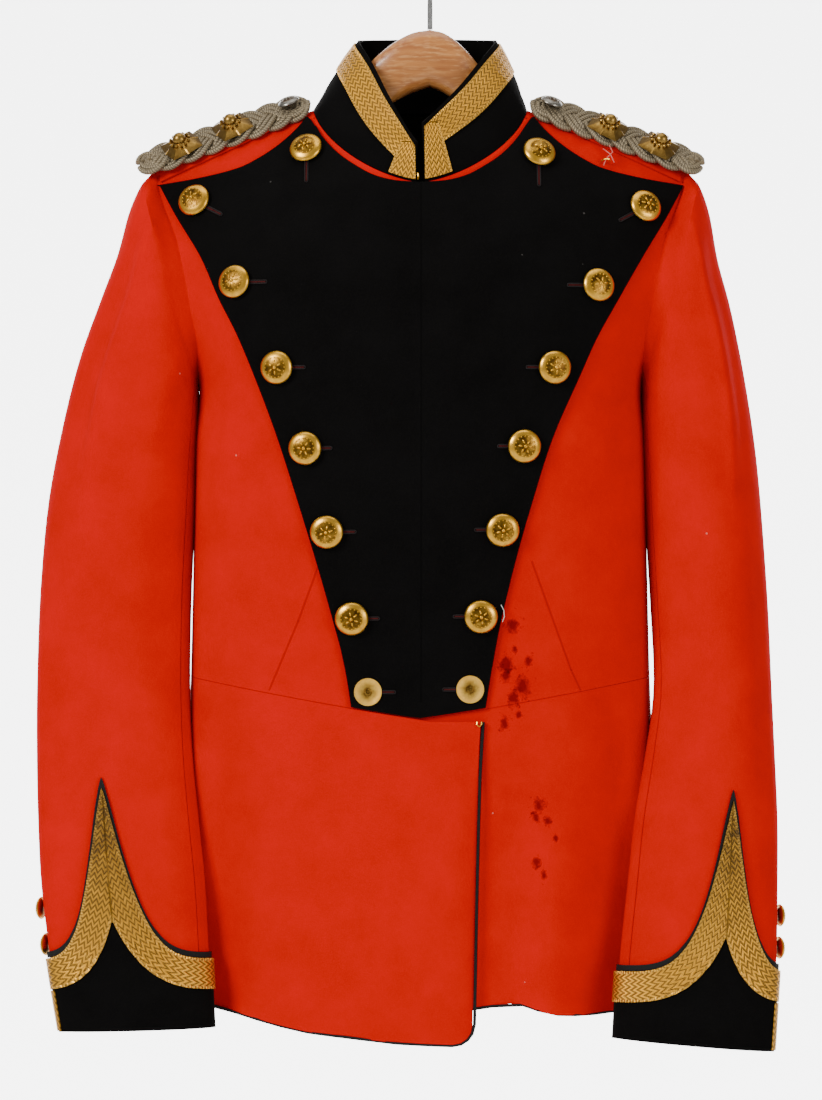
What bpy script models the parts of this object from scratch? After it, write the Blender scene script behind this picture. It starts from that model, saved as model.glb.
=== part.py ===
"""A scarlet lancer-style military tunic on a wooden hanger, piece by piece.

The frame: +Z is up, the front faces -Y, and the origin is the inside top of
the hanger's hook. Tables are in millimetres, everything built is in metres.
"Right" and "left" are the wearer's, so the right side lies towards -X.
"""
import math

import bmesh
import bpy
import numpy as np
from mathutils import Vector

MM = 0.001

# Cloth walls and gaps
CLOTH = 1.8 * MM
FACING_CLOTH = 1.4 * MM
COLLAR_CLOTH = 2.6 * MM
LACE = 1.0 * MM
SEAM_GAP = 0.3 * MM
LAYER_GAP = 1.0 * MM
PLASTRON_GAP = 1.4 * MM

# The garment hangs a little to one side of the hook
HANG_OFFSET = -7.5 * MM

# Shoulders and neck, from the garment's centre line
NECK_HALF = 82 * MM
NECK_SIDE_Z = -146.5 * MM
NECK_FRONT_DROP = 59 * MM
NECK_BACK_DROP = 16 * MM
TIP_HALF = 202 * MM
TIP_Z = -191 * MM
RIDGE_SLOPE = (NECK_SIDE_Z - TIP_Z) / (TIP_HALF - NECK_HALF)
RIDGE_ROUND = 8 * MM
RIDGE_SHARE = 0.14
CHEST_DROP = 150 * MM
PIT_Z = -358 * MM
SQUARENESS = 2.5

# height, half width, depth to the front, depth to the back
BODY = [
    (-110, 210, 86, 64),
    (-204, 210, 86, 66),
    (-250, 200, 86, 71),
    (-300, 189, 88, 76),
    (-331, 177, 91, 79),
    (-358, 169, 92, 80),
    (-400, 165, 92, 79),
    (-450, 164, 89, 75),
    (-520, 166, 82, 68),
    (-583, 169, 77, 63),
    (-620, 171, 78, 65),
    (-700, 178, 83, 73),
    (-780, 186, 88, 81),
    (-860, 193, 92, 87),
]

# height, how far round each panel reaches at the armhole, in degrees
ARMHOLE = [
    (-110, 72, 72),
    (-200, 72, 72),
    (-250, 66, 68),
    (-300, 66, 66),
    (-331, 73, 72),
    (-358, 90, 90),
]

# Waist seam: lowest at the centre front
WAIST_FRONT_Z = -613 * MM
WAIST_BACK_Z = -590 * MM
WAIST_SIDE_Z = -582 * MM

# Hems, by the distance from the centre line towards each side
HEM_RIGHT = [
    (-60, -858), (-20, -857), (20, -855), (54, -851), (81, -848), (108, -842), (131, -836),
    (157, -830), (195, -826),
]
HEM_LEFT = [
    (-40, -832), (20, -832), (44, -830), (68, -826), (80, -828), (100, -834), (139, -834), (195, -826),
]
HEM_BACK_Z = -836 * MM
HEM_SIDE_Z = -826 * MM

# The lap of the right skirt over the left one
LAP_TOP_X = 46 * MM
LAP_HEM_X = 39 * MM
LAP_TOP_Z = -615 * MM
LAP_RISE = 3.0 * MM
LAP_CORNER = 15 * MM
UNDERLAP = 24
LAP_INSETS = (0, 1.5, 4.5, 9, 15, 26, 38)
LAP_FADE_X = 60 * MM
LAP_FADE = 34 * MM

# Largest folds of the body: side, distance from the centre, top, bottom, width, depth (a ridge is negative)
BODY_FOLDS = [
    ("left", 66, -620, -860, 20, 7.0),
    ("left", 104, -640, -860, 20, -4.0),
    ("left", 150, -560, -860, 17, 6.0),
    ("right", 150, -560, -860, 17, 6.5),
    ("right", 112, -640, -860, 24, -3.5),
    ("right", 161, -270, -450, 12, 5.0),
    ("left", 158, -285, -460, 12, 4.0),
    ("back", 55, -600, -860, 18, 8.0),
    ("back", -55, -600, -860, 18, 8.0),
    ("back", 105, -300, -520, 22, 4.0),
    ("back", -105, -300, -520, 22, 4.0),
]

# Plastron: height, reach to the wearer's right, reach to the left
PLASTRON_EDGE = [
    (-204, 201, 203),
    (-231, 186, 188),
    (-262, 167, 169),
    (-293, 153, 151),
    (-323, 138, 134),
    (-354, 125, 120),
    (-400, 108, 100),
    (-447, 93, 85),
    (-493, 79, 72),
    (-539, 66, 61),
    (-570, 58, 55),
    (-614, 51, 48),
]
PLASTRON_PEAK_DROP = 6.5 * MM
PLASTRON_FOOT_LIFT = 0.8 * MM
PLASTRON_STATIONS = (0, 22, 42, 56, 66, 74, 80, 86, 93, 104, 120, 143, 172, 201)

# The plastron's top line: distance from the centre, height
PLASTRON_TOP = [
    (0, -207), (20, -205.5), (36, -201), (50, -193), (61, -185), (69, -177), (76, -168), (81, -160),
    (86, -154.5), (92, -161.5), (101, -170.5), (110, -178), (122, -186), (138, -194), (170, -201.5),
    (203, -206),
]

# Sleeve rings: outer x, outer z, inner x, inner z, half depth, middle y
SLEEVE_RIGHT = [
    (204, -193, 170, -358.5, 40, 1),
    (214, -203, 170, -364, 46, 1),
    (224, -225, 170, -370, 50, 1),
    (233, -258, 170, -377, 52, 1),
    (246, -293, 170, -385, 51, 0),
    (262, -338, 170.5, -400, 49, -1),
    (275, -390, 171.5, -424, 47, -3),
    (286, -450, 172.5, -462, 44, -6),
    (292, -520, 175, -522, 40, -9),
    (294, -590, 176, -590, 36, -15),
    (293.5, -640, 174, -640, 33, -26),
    (291.5, -690, 169, -690, 30, -42),
    (288, -740, 163.5, -740, 27, -57),
    (280, -796, 160, -796, 23, -72),
    (270.5, -849, 157, -846, 20, -84),
]
SLEEVE_LEFT = [
    (204, -193, 170, -358.5, 40, 1),
    (214, -203, 170, -364, 46, 1),
    (222.5, -226, 170, -370, 50, 1),
    (229, -262, 170, -377, 53, 1),
    (239, -300, 169.5, -386, 53, 0),
    (249, -350, 169.5, -404, 52, -1),
    (257, -402, 171, -430, 51, -3),
    (262, -452, 172.5, -466, 50, -5),
    (267, -525, 176, -526, 49, -8),
    (269.5, -590, 178.5, -590, 46, -16),
    (271, -640, 172, -640, 42, -31),
    (272, -690, 163, -690, 37, -50),
    (271, -740, 157, -740, 31, -66),
    (269, -796, 150.5, -796, 25, -82),
    (264, -863, 146.5, -853, 21, -97),
]
HIND_SEAM = -12.0
FORE_SEAM = 152.0
SLEEVE_SEAM_ANGLE = 1.35
ARMHOLE_GAP = 0.9 * MM

# Creases of each sleeve: angle, top, bottom, width in degrees, depth (a ridge is negative)
SLEEVE_FOLDS = {
    "right": [(38, -235, -430, 13, 5.0), (66, -260, -520, 16, -3.5), (128, -430, -610, 20, 3.0),
              (215, -400, -640, 24, 5.0), (285, -300, -560, 22, 4.0)],
    "left": [(52, -235, -440, 13, -4.0), (96, -250, -420, 18, 3.5), (120, -480, -640, 18, 4.5),
             (215, -400, -640, 24, 5.0), (285, -300, -560, 22, 4.0)],
}

# Cuffs: where the point stands round the sleeve, its height, and the two curves below it
CUFF_POINT_ANGLE = {"right": 81.0, "left": 71.0}
CUFF_POINT_Z = {"right": -666 * MM, "left": -675 * MM}
CUFF_SPREAD = 18.0
CUFF_FALL = 128 * MM
LACE_POINT_FALL = 91 * MM
LACE_FALL = 63 * MM
LACE_SPREAD = 19.0
LACE_STRIP_ANGLE = 30.0
TRACING_WIDTH = 3.5 * MM
TRACING_THICK = 1.8 * MM
TRACING_CLEAR = 1.2 * MM
TRACING_GAP = 0.6 * MM
LACE_GAP = 0.7 * MM
CUFF_STEPS = [0, 6, 13, 21, 32, 46, 62, 79, 95, 115, 138, 160, 182, 205, 228, 248, 262]

# Collar: share of the way round from the front edge to the centre back, then x, y, z of its top edge
COLLAR_TOP = {
    "right": [(0.0, 3.5, -61, -175), (0.3, 25, -34, -138), (0.5, 39, -16, -111), (0.64, 50, 8, -93.5),
              (0.76, 47, 25, -90.5), (0.88, 27, 33, -89.5), (1.0, 0, 36, -89)],
    "left": [(0.0, 2.5, -61, -160), (0.3, 29, -34, -130), (0.5, 46, -16, -107), (0.64, 56, 8, -93),
             (0.76, 51, 25, -90.5), (0.88, 29, 33, -89.5), (1.0, 0, 36, -89)],
}
COLLAR_SIDE_SHARE = 0.55
COLLAR_FRONT_X = 3.5 * MM
COLLAR_BULGE = 4.5 * MM
COLLAR_RIM = 3.2 * MM
COLLAR_LACE_WIDTH = 21 * MM
COLLAR_TOP_SHIFT = 4 * MM
COLLAR_AXIS_Y = -10 * MM

# Columns of the bodice by their place along the neck and the shoulder seam, shared by the collar
NECK_STATIONS = (0, 18, 36, 53, 67, 77, 82)
SHOULDER_STATIONS = (98, 120, 145, 170, 188, 198, 202)
BODICE_ROWS = 11
ROW_CROWD = 1.4
PLASTRON_FIRST_ROW = 1
PLASTRON_ROW_DROP = 4 * MM

# Buttons: x, z of each on the plastron
BUTTONS_RIGHT = [
    (86, -181), (171, -219.5), (139, -282.5), (107, -347), (86, -408), (70, -471), (51.5, -536.5),
]
BUTTONS_LEFT = [
    (89.5, -184), (170, -224), (133, -285), (100, -347), (77.5, -406.5), (61.5, -469.5), (45.5, -535),
]
FLAT_BUTTONS = {"right": (39.5, -592.5), "left": (37.5, -590.5)}
BUTTON_RADIUS = 12.7 * MM
BUTTON_HEIGHT = 7.6 * MM
BUTTON_CLEAR = 0.5 * MM
FLAT_BUTTON_RADIUS = 10.5 * MM
FLAT_BUTTON_THICK = 1.6 * MM
FLAT_BUTTON_CLEAR = 1.5 * MM
SMALL_BUTTON_HEIGHT = 5.5 * MM
CUFF_BUTTON_RADIUS = 8.5 * MM
CUFF_BUTTONS_Z = {"right": (-757, -784), "left": (-762, -786)}
CUFF_BUTTON_ANGLE = -9.0
BUTTON_SEGMENTS = 12

# Shoulder straps and cords: along each shoulder seam, from the neck end to the sleeve end
CORD_NECK_X = 84 * MM
CORD_TIP_X = 214 * MM
CORD_HALF = 17 * MM
CORD_SCALLOP = 3 * MM
CORD_THICK = 8 * MM
CORD_LIFT = 3.2 * MM
CORD_TILT = 20.0
CORD_MIDDLE_Y = -4 * MM
CORD_PLAITS = 5
STRAP_NECK_X = 92 * MM
STRAP_TIP_X = 199 * MM
STRAP_NECK_DROP = 4 * MM
STRAP_TIP_DROP = 13 * MM
STRAP_BACK_DROP = 6 * MM
BADGE_SIZE = 12.5 * MM
BADGE_HEIGHT = 6.5 * MM
BADGE_GAP = 0.1 * MM
BADGE_PLACES = (0.44, 0.74)
BADGE_RINGS = ((0, 1, 0.62), (0.35, 0.97, 0.6), (0.6, 0.55, 0.5), (1, 0.26, 0.26))
SHOULDER_BUTTON_RADIUS = 8.5 * MM
SHOULDER_BUTTON_X = 97 * MM
SHOULDER_BUTTON_GAP = 0.6 * MM

# Piping, the hook at the lap's top corner and the loop on the left shoulder
PIPING = 1.25 * MM
WAIST_HOOK_INSET = 1.5 * MM
WAIST_HOOK_LIFT = 1.3 * MM
WAIST_HOOK_ROUTE = ((-1.6, 0, 1.5), (-1.8, -0.5, -0.5), (0, -0.8, -2.2), (1.6, -0.5, -0.5), (1.6, 0, 1.5))
LOOP_X = 141 * MM
LOOP_Z = -189 * MM
LOOP_LIFT = 1.4 * MM
LOOP_HALF = 3.5 * MM
LOOP_HEIGHT = 5 * MM

# Hanger: distance along x, top, bottom, half thickness, middle y
HANGER = [
    (0, -84.7, -128.5, 11, 1),
    (12, -87, -133, 10.6, 1),
    (24, -94, -140, 10, 0),
    (36, -104.5, -148, 9, 0),
    (47, -117, -156, 8, 0),
    (60, -134, -167, 7.2, -1),
    (74, -151.5, -177, 6.4, -1.5),
    (90, -152.0, -182, 5.6, -1),
    (125, -165.1, -193, 4.8, -0.8),
    (160, -178.8, -202, 4.2, -0.5),
    (184, -188.6, -205, 3.4, -0.3),
]
HOOK_RADIUS = 26 * MM
HOOK_WIRE = 2 * MM
HOOK_START_ANGLE = -84
HOOK_END_ANGLE = 205

RED = (0.62, 0.016, 0.008, 1.0)
BLACK = (0.008, 0.007, 0.007, 1.0)
GOLD = (0.72, 0.45, 0.12, 1.0)
GILT = (0.80, 0.56, 0.16, 1.0)
CORD_METAL = (0.50, 0.42, 0.27, 1.0)
WOOD = (0.60, 0.25, 0.07, 1.0)
STEEL = (0.62, 0.62, 0.62, 1.0)


def clear_scene():
    for thing in list(bpy.data.objects):
        bpy.data.objects.remove(thing, do_unlink=True)


def make_material(name, colour, roughness, metallic=0.0):
    material = bpy.data.materials.new(name)
    material.use_nodes = True
    shader = material.node_tree.nodes["Principled BSDF"]
    shader.inputs["Base Color"].default_value = colour
    shader.inputs["Roughness"].default_value = roughness
    shader.inputs["Metallic"].default_value = metallic
    material.diffuse_color = colour
    return material


def smooth_table(rows, column, at):
    """Reads one column of a table at a value of its first column, on a smooth curve."""
    keys = [row[0] for row in rows]
    values = [row[column] for row in rows]
    if keys[0] > keys[-1]:
        keys.reverse()
        values.reverse()
    if at <= keys[0]:
        return values[0]
    if at >= keys[-1]:
        return values[-1]
    last = len(keys) - 1
    spot = next(i for i in range(last) if keys[i + 1] >= at)

    def slope(i):
        low, high = max(i - 1, 0), min(i + 1, last)
        return (values[high] - values[low]) / (keys[high] - keys[low])

    span = keys[spot + 1] - keys[spot]
    t = (at - keys[spot]) / span
    rise = values[spot + 1] - values[spot]
    a = slope(spot) * span
    b = slope(spot + 1) * span
    return values[spot] + a * t + (3 * rise - 2 * a - b) * t * t + (a + b - 2 * rise) * t ** 3


def table_mm(rows, column, at):
    """The same for a table in millimetres, given and returned in metres."""
    return smooth_table(rows, column, at / MM) * MM


def smooth_step(t):
    t = min(max(t, 0.0), 1.0)
    return t * t * (3 - 2 * t)


def ridge_z(x):
    """Height of the shoulder line at a distance from the centre line, arched over the neck."""
    x = abs(x)
    if x < NECK_HALF:
        return NECK_SIDE_Z + 0.5 * RIDGE_SLOPE * (NECK_HALF - x * x / NECK_HALF)
    return NECK_SIDE_Z - (x - NECK_HALF) * RIDGE_SLOPE


def shoulder_rounding(below):
    """How much of its full depth the body has, at a distance below the shoulder line."""
    below = max(below, 0.0)
    t = min(below / RIDGE_ROUND, 1.0)
    nose = math.sqrt(max(1 - (1 - t) ** 2, 0.0))
    lean = math.sin(0.5 * math.pi * min(below / CHEST_DROP, 1.0))
    return RIDGE_SHARE * nose + (1 - RIDGE_SHARE) * lean


def fold_depth(face, side, x, z):
    """Depth of the body's folds at a point; side is "right" or "left"."""
    depth = 0.0
    for where, place, top, bottom, width, size in BODY_FOLDS:
        if face == "back":
            if where != "back":
                continue
            across = x if side == "left" else -x
        else:
            if where != side:
                continue
            across = x
        along = (top * MM - z) / ((top - bottom) * MM)
        if along <= 0:
            continue
        fade = smooth_step(along * 3)
        if bottom > -800:
            fade *= smooth_step((1 - along) * 3)
        depth += size * MM * fade * math.exp(-((across - place * MM) / (width * MM)) ** 2)
    return depth


def body_depth(face, side, x, z):
    """Distance of the cloth's outside from the garment's middle plane."""
    column = 2 if face == "front" else 3
    half = table_mm(BODY, 1, z)
    full = table_mm(BODY, column, z)
    share = max(1 - (abs(x) / half) ** SQUARENESS, 0.0) ** (1 / SQUARENESS)
    below = ridge_z(x) - z
    rounded = shoulder_rounding(below)
    return max(full * share * rounded - fold_depth(face, side, abs(x), z) * share ** 0.5, 0.0)


def body_point(face, side, x, z):
    """A point of the body's outside, by its distance from the centre line and its height."""
    y = body_depth(face, side, x, z)
    sign = -1 if side == "right" else 1
    return np.array([sign * x + HANG_OFFSET, -y if face == "front" else y, z])


def reach(face, z):
    """The angle round the body to the side seam or the armhole."""
    if z <= PIT_Z:
        return 90.0
    return smooth_table(ARMHOLE, 1 if face == "front" else 2, z / MM)


def edge_x(face, share, z):
    """Distance from the centre line at a share of the angle to the panel's outer edge."""
    angle = math.radians(share * reach(face, z))
    return table_mm(BODY, 1, z) * math.sin(angle) ** (2 / SQUARENESS)


def neck_z(face, x):
    t = min(abs(x) / NECK_HALF, 1.0)
    if face == "front":
        return NECK_SIDE_Z - NECK_FRONT_DROP * (1 - t ** 1.55) ** (1 / 1.55)
    return ridge_z(x) - NECK_BACK_DROP * (1 - t ** 3)


def panel_top(face, share):
    """Height at which a column of a panel meets the neck or the shoulder seam."""
    z = TIP_Z
    for _ in range(8):
        x = edge_x(face, share, z)
        z = neck_z(face, x) if x < NECK_HALF else ridge_z(x)
    return z


def waist_z(face, x):
    half = table_mm(BODY, 1, WAIST_SIDE_Z)
    t = min(abs(x) / half, 1.0)
    centre = WAIST_FRONT_Z if face == "front" else WAIST_BACK_Z
    return centre + (WAIST_SIDE_Z - centre) * t ** 1.1


def hem_z(face, side, x):
    if face == "back":
        return HEM_BACK_Z + (HEM_SIDE_Z - HEM_BACK_Z) * min(abs(x) / (180 * MM), 1.0) ** 2
    return table_mm(HEM_RIGHT if side == "right" else HEM_LEFT, 1, x)


def grid_normals(points):
    """Unit normals of a grid of points, rows down and columns across."""
    down = np.gradient(points, axis=0)
    across = np.gradient(points, axis=1)
    normal = np.cross(down, across)
    length = np.linalg.norm(normal, axis=2, keepdims=True)
    return normal / np.maximum(length, 1e-12)


def outward_normals(points, outward):
    """The same, turned to the side that the outward directions look on the whole."""
    normal = grid_normals(points)
    if np.mean(np.sum(normal * outward, axis=2)) < 0:
        normal = -normal
    return normal


def away_from_body(points):
    """Directions away from the garment's middle plane and axis."""
    return points - np.array([HANG_OFFSET, 0, 0]) - points * np.array([0, 0, 1])


def link(thing, material):
    thing.data.materials.append(material)
    bpy.data.collections["military_tunic"].objects.link(thing)
    return thing


def quads(rows, columns, flip, start=0):
    faces = []
    for i in range(rows - 1):
        for j in range(columns - 1):
            a = start + i * columns + j
            face = (a, a + columns, a + columns + 1, a + 1)
            faces.append(face[::-1] if flip else face)
    return faces


def add_panel(name, points, normals, thickness, material):
    """A cut panel of cloth whose edges meet its neighbours': both its skins share the seam's normals."""
    rows, columns = points.shape[:2]
    inner = points - normals * thickness
    flip = np.mean(np.sum(grid_normals(points) * normals, axis=2)) < 0
    faces = quads(rows, columns, flip) + quads(rows, columns, not flip, rows * columns)
    rim = [(0, j) for j in range(columns - 1)]
    rim += [(i, columns - 1) for i in range(rows - 1)]
    rim += [(rows - 1, j) for j in range(columns - 1, 0, -1)]
    rim += [(i, 0) for i in range(rows - 1, 0, -1)]
    ring = [i * columns + j for i, j in rim]
    under = rows * columns
    for a, b in zip(ring, ring[1:] + ring[:1]):
        face = (a, b, b + under, a + under)
        faces.append(face[::-1] if flip else face)
    mesh = bpy.data.meshes.new(name)
    corners = np.concatenate([points.reshape(-1, 3), inner.reshape(-1, 3)])
    mesh.from_pydata([tuple(p) for p in corners], [], faces)
    mesh.update()
    return link(bpy.data.objects.new(name, mesh), material)


def add_layer(name, points, normals, thickness, material):
    """A layer laid on a panel: an open sheet with Solidify, its grid being its outside."""
    rows, columns = points.shape[:2]
    flip = np.mean(np.sum(grid_normals(points) * normals, axis=2)) < 0
    mesh = bpy.data.meshes.new(name)
    mesh.from_pydata([tuple(p) for p in points.reshape(-1, 3)], [], quads(rows, columns, flip))
    mesh.update()
    thing = link(bpy.data.objects.new(name, mesh), material)
    wall = thing.modifiers.new("wall", "SOLIDIFY")
    wall.thickness = thickness
    wall.offset = -1
    return thing


def add_turned(name, profile, place, axis, material, segments=BUTTON_SEGMENTS):
    """A turned piece: a profile of (radius, height) from its back over its top, spun round its axis."""
    mesh = bpy.data.meshes.new(name)
    vertices = [(r, 0.0, h) for r, h in reversed(profile)]
    mesh.from_pydata(vertices, [(i, i + 1) for i in range(len(vertices) - 1)], [])
    thing = link(bpy.data.objects.new(name, mesh), material)
    screw = thing.modifiers.new("turn", "SCREW")
    screw.steps = segments
    screw.render_steps = segments
    screw.use_merge_vertices = True
    screw.merge_threshold = 0.00005
    screw.use_smooth_shade = True
    thing.location = place
    thing.rotation_mode = "QUATERNION"
    thing.rotation_quaternion = direction_turn(axis)
    return thing


def direction_turn(axis):
    """The turn that takes +Z to an axis."""
    return Vector(axis).to_track_quat("Z", "Y")


def add_tube(name, route, radius, material, resolution=1, cyclic=False):
    """A tube, wire or piping along a route of points."""
    curve = bpy.data.curves.new(name, "CURVE")
    curve.dimensions = "3D"
    curve.bevel_depth = radius
    curve.bevel_resolution = resolution
    curve.use_fill_caps = True
    spline = curve.splines.new("POLY")
    spline.points.add(len(route) - 1)
    for point, spot in zip(spline.points, route):
        point.co = (*spot, 1.0)
    spline.use_cyclic_u = cyclic
    return link(bpy.data.objects.new(name, curve), material)


def panel_grid(face, side, shares, rows):
    """A bodice panel from the neck and shoulder seam down to the waist seam, with its normals."""
    def point(share, z):
        if share > 1:
            other = "back" if face == "front" else "front"
            return body_point(other, side, edge_x(other, 2 - share, z), z)
        return body_point(face, side, max(edge_x(face, share, z), 0.5 * SEAM_GAP), z)

    step = 0.04
    grid = []
    ghosts = []
    for t in rows:
        line = []
        for share in list(shares) + [1 + step]:
            inside = min(share, 1.0)
            top = panel_top(face, inside) - SEAM_GAP
            bottom = waist_z(face, edge_x(face, inside, WAIST_SIDE_Z)) + 0.5 * SEAM_GAP
            line.append(point(share, top + (bottom - top) * t ** ROW_CROWD))
        ghosts.append(line.pop())
        grid.append(line)
    points = np.array(grid)
    beyond = np.array(ghosts)[:, None, :]
    across = points[0, :, 0]
    mirror = points[1] * np.array([1, -1, 1])
    on_shoulder = np.abs(across - HANG_OFFSET) > NECK_HALF - 2 * MM
    over = np.where(on_shoulder[:, None], mirror, 2 * points[0] - points[1])
    padded = np.concatenate([over[None], points], axis=0)
    beyond = np.concatenate([beyond[:1], beyond], axis=0)
    padded = np.concatenate([padded, beyond], axis=1)
    normals = outward_normals(padded, away_from_body(padded))[1:, :-1]
    normals[:, 0, 0] = 0
    normals /= np.linalg.norm(normals, axis=2, keepdims=True)
    gap = np.zeros_like(points)
    gap[0, :, 1] = -0.5 * SEAM_GAP if face == "front" else 0.5 * SEAM_GAP
    gap[:, -1, 1] = gap[0, 0, 1]
    return points + gap, normals


def station_share(x):
    """Share of the angle round a panel of the column that starts at a place on its top edge."""
    half = table_mm(BODY, 1, TIP_Z)
    return math.degrees(math.asin((x / half) ** (SQUARENESS / 2))) / ARMHOLE[0][1]


def build_bodices(materials):
    stations = [x * MM for x in NECK_STATIONS + SHOULDER_STATIONS]
    shares = [station_share(x) for x in stations[:-1]] + [1.0]
    rows = np.linspace(0, 1, BODICE_ROWS)
    for side in ("right", "left"):
        for face in ("front", "back"):
            points, normals = panel_grid(face, side, shares, rows)
            add_panel(f"bodice_{face}_{side}", points, normals, CLOTH, materials["red"])


def skirt_point(face, side, x, z):
    """A point of the skirt; a negative distance lies past the centre line, on the other side."""
    if x < 0:
        side = "left" if side == "right" else "right"
    return body_point(face, side, abs(x), z)


def around_x(angle, z):
    return table_mm(BODY, 1, z) * math.sin(math.radians(angle)) ** (2 / SQUARENESS)


def lap_rise(x):
    """How far the lap's cloth stands off the skirt below it, fading towards the side."""
    return LAP_RISE * smooth_step((LAP_FADE_X - x) / LAP_FADE)


def skirt_grid(face, side, front_columns, angles, rows):
    """A skirt panel: columns at set distances in front, then by angle to the side seam."""
    grid = []
    for t in rows:
        line = []
        for column in front_columns:
            line.append(column(t))
        for angle in angles:
            inside = min(angle, 90.0)
            top = waist_z(face, around_x(inside, WAIST_SIDE_Z)) - 0.5 * SEAM_GAP
            bottom = hem_z(face, side, around_x(inside, HEM_SIDE_Z))
            z = top + (bottom - top) * t
            if angle > 90:
                other = "back" if face == "front" else "front"
                line.append(skirt_point(other, side, around_x(180 - angle, z), z))
                continue
            x = around_x(angle, z)
            spot = skirt_point(face, side, x, z)
            if side == "right" and face == "front":
                spot = spot - np.array([0, lap_rise(x), 0])
            line.append(spot)
        grid.append(line)
    points = np.array(grid)
    normals = outward_normals(points, away_from_body(points))
    points = points[:, :-1]
    points[:, -1, 1] += -0.5 * SEAM_GAP if face == "front" else 0.5 * SEAM_GAP
    return points, normals[:, :-1]


def lap_edge_x(z):
    """The lap's front edge, past the centre line, at a height."""
    t = (LAP_TOP_Z - z) / (LAP_TOP_Z - HEM_RIGHT[0][1] * MM)
    return LAP_TOP_X + (LAP_HEM_X - LAP_TOP_X) * min(max(t, 0.0), 1.0) ** 0.6


def lap_column(inset):
    """A column of the lap at a distance in from its front edge, round its lower corner."""
    def spot(t):
        edge = lap_edge_x(HEM_RIGHT[0][1] * MM) - inset
        corner = max(LAP_CORNER - inset, 0.0)
        bottom = hem_z("front", "right", -edge) + LAP_CORNER - math.sqrt(LAP_CORNER ** 2 - corner ** 2)
        z = LAP_TOP_Z + (bottom - LAP_TOP_Z) * t
        x = -(lap_edge_x(z) - inset)
        return skirt_point("front", "right", x, z) - np.array([0, LAP_RISE, 0])
    return spot


def under_column(x):
    """A column of the left skirt below the lap."""
    def spot(t):
        top = waist_z("front", x) - 0.5 * SEAM_GAP
        z = top + (hem_z("front", "left", x) - top) * t
        return skirt_point("front", "left", x, z)
    return spot


def build_skirts(materials):
    rows = np.linspace(0, 1, 7)
    red = materials["red"]
    lap = [lap_column(inset * MM) for inset in LAP_INSETS]
    angles = [3, 9, 15, 21, 28, 35, 43, 52, 61, 70, 78, 85, 90, 93]
    points, normals = skirt_grid("front", "right", lap, angles, rows)
    add_panel("skirt_front_right", points, normals, CLOTH, red)
    edge = list(points[:, 0]) + list(points[-1, 1:-1])
    pipe_edge("piping_front_right", edge, points, "front", materials["black"])

    under = [under_column(x * MM) for x in (-UNDERLAP, -0.5 * UNDERLAP, 0)]
    angles = [5, 12, 19, 23, 28, 33, 39, 46, 54, 62, 70, 78, 85, 90, 93]
    points, normals = skirt_grid("front", "left", under, angles, rows)
    add_panel("skirt_front_left", points, normals, CLOTH, red)
    pipe_edge("piping_front_left", points[-1, 2:-1], points, "front", materials["black"])

    half = [0, 6, 12, 17, 23, 30, 40, 52, 64, 76, 85, 90, 93]
    right, right_normals = skirt_grid("back", "right", [], half, rows)
    left, left_normals = skirt_grid("back", "left", [], half, rows)
    points = np.concatenate([right[:, ::-1], left[:, 1:]], axis=1)
    normals = np.concatenate([right_normals[:, ::-1], left_normals[:, 1:]], axis=1)
    add_panel("skirt_back", points, normals, CLOTH, red)
    pipe_edge("piping_back", points[-1, 1:-1], points, "back", materials["black"])


def pipe_edge(name, edge, points, face, material):
    """Piping along a panel's edge, just clear of the cloth and level with its middle."""
    middle = points.reshape(-1, 3).mean(axis=0)
    inside = np.array([0, 0.5 * CLOTH if face == "front" else -0.5 * CLOTH, 0])
    last = len(edge) - 1
    route = []
    for i, spot in enumerate(edge):
        ahead = edge[min(i + 1, last)] - edge[max(i - 1, 0)]
        away = np.array([-ahead[2], 0, ahead[0]])
        away /= np.linalg.norm(away)
        if np.dot(away, spot - middle) < 0:
            away = -away
        route.append(spot + away * (PIPING + SEAM_GAP) + inside)
    add_tube(name, route, PIPING, material)


def plastron_edge(side, z):
    """The plastron's reach from the centre line at a height."""
    return table_mm(PLASTRON_EDGE, 1 if side == "right" else 2, z)


def panel_row_z(x, z, t):
    """Height of the front panel's row at a distance from the centre line, near a height."""
    for _ in range(5):
        half = table_mm(BODY, 1, z)
        share = math.degrees(math.asin(min(x / half, 0.999) ** (SQUARENESS / 2))) / reach("front", z)
        top = panel_top("front", min(share, 1.0))
        bottom = waist_z("front", edge_x("front", min(share, 1.0), WAIST_SIDE_Z))
        z = top + (bottom - top) * t ** ROW_CROWD
    return z


def plastron_spot(side, share, t):
    """A place on the plastron: share from the centre to its edge, on a row of the panel below it."""
    if t is None:
        x = share * TIP_HALF
        return x, min(table_mm(PLASTRON_TOP, 1, x), ridge_z(x) - PLASTRON_PEAK_DROP)
    highest = plastron_spot(side, share, None)[1] - PLASTRON_ROW_DROP * min(t * (BODICE_ROWS - 1), 2)
    z = TIP_Z + (WAIST_FRONT_Z - TIP_Z) * t
    for _ in range(5):
        x = share * plastron_edge(side, z)
        z = min(panel_row_z(x, z, t), highest)
    if t == 1:
        z += PLASTRON_FOOT_LIFT
    return x, z


def plastron_points(extra):
    """The plastron's grid from tip to tip, moved out from the bodice."""
    shares = [x * MM / TIP_HALF for x in PLASTRON_STATIONS]
    grid = []
    for t in [None] + list(np.linspace(0, 1, BODICE_ROWS)[PLASTRON_FIRST_ROW:]):
        line = []
        for share in shares[:0:-1]:
            line.append(body_point("front", "right", *plastron_spot("right", share, t)))
        for share in shares:
            line.append(body_point("front", "left", *plastron_spot("left", share, t)))
        grid.append(line)
    points = np.array(grid)
    normals = outward_normals(points, away_from_body(points))
    return points + normals * extra, normals


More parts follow.
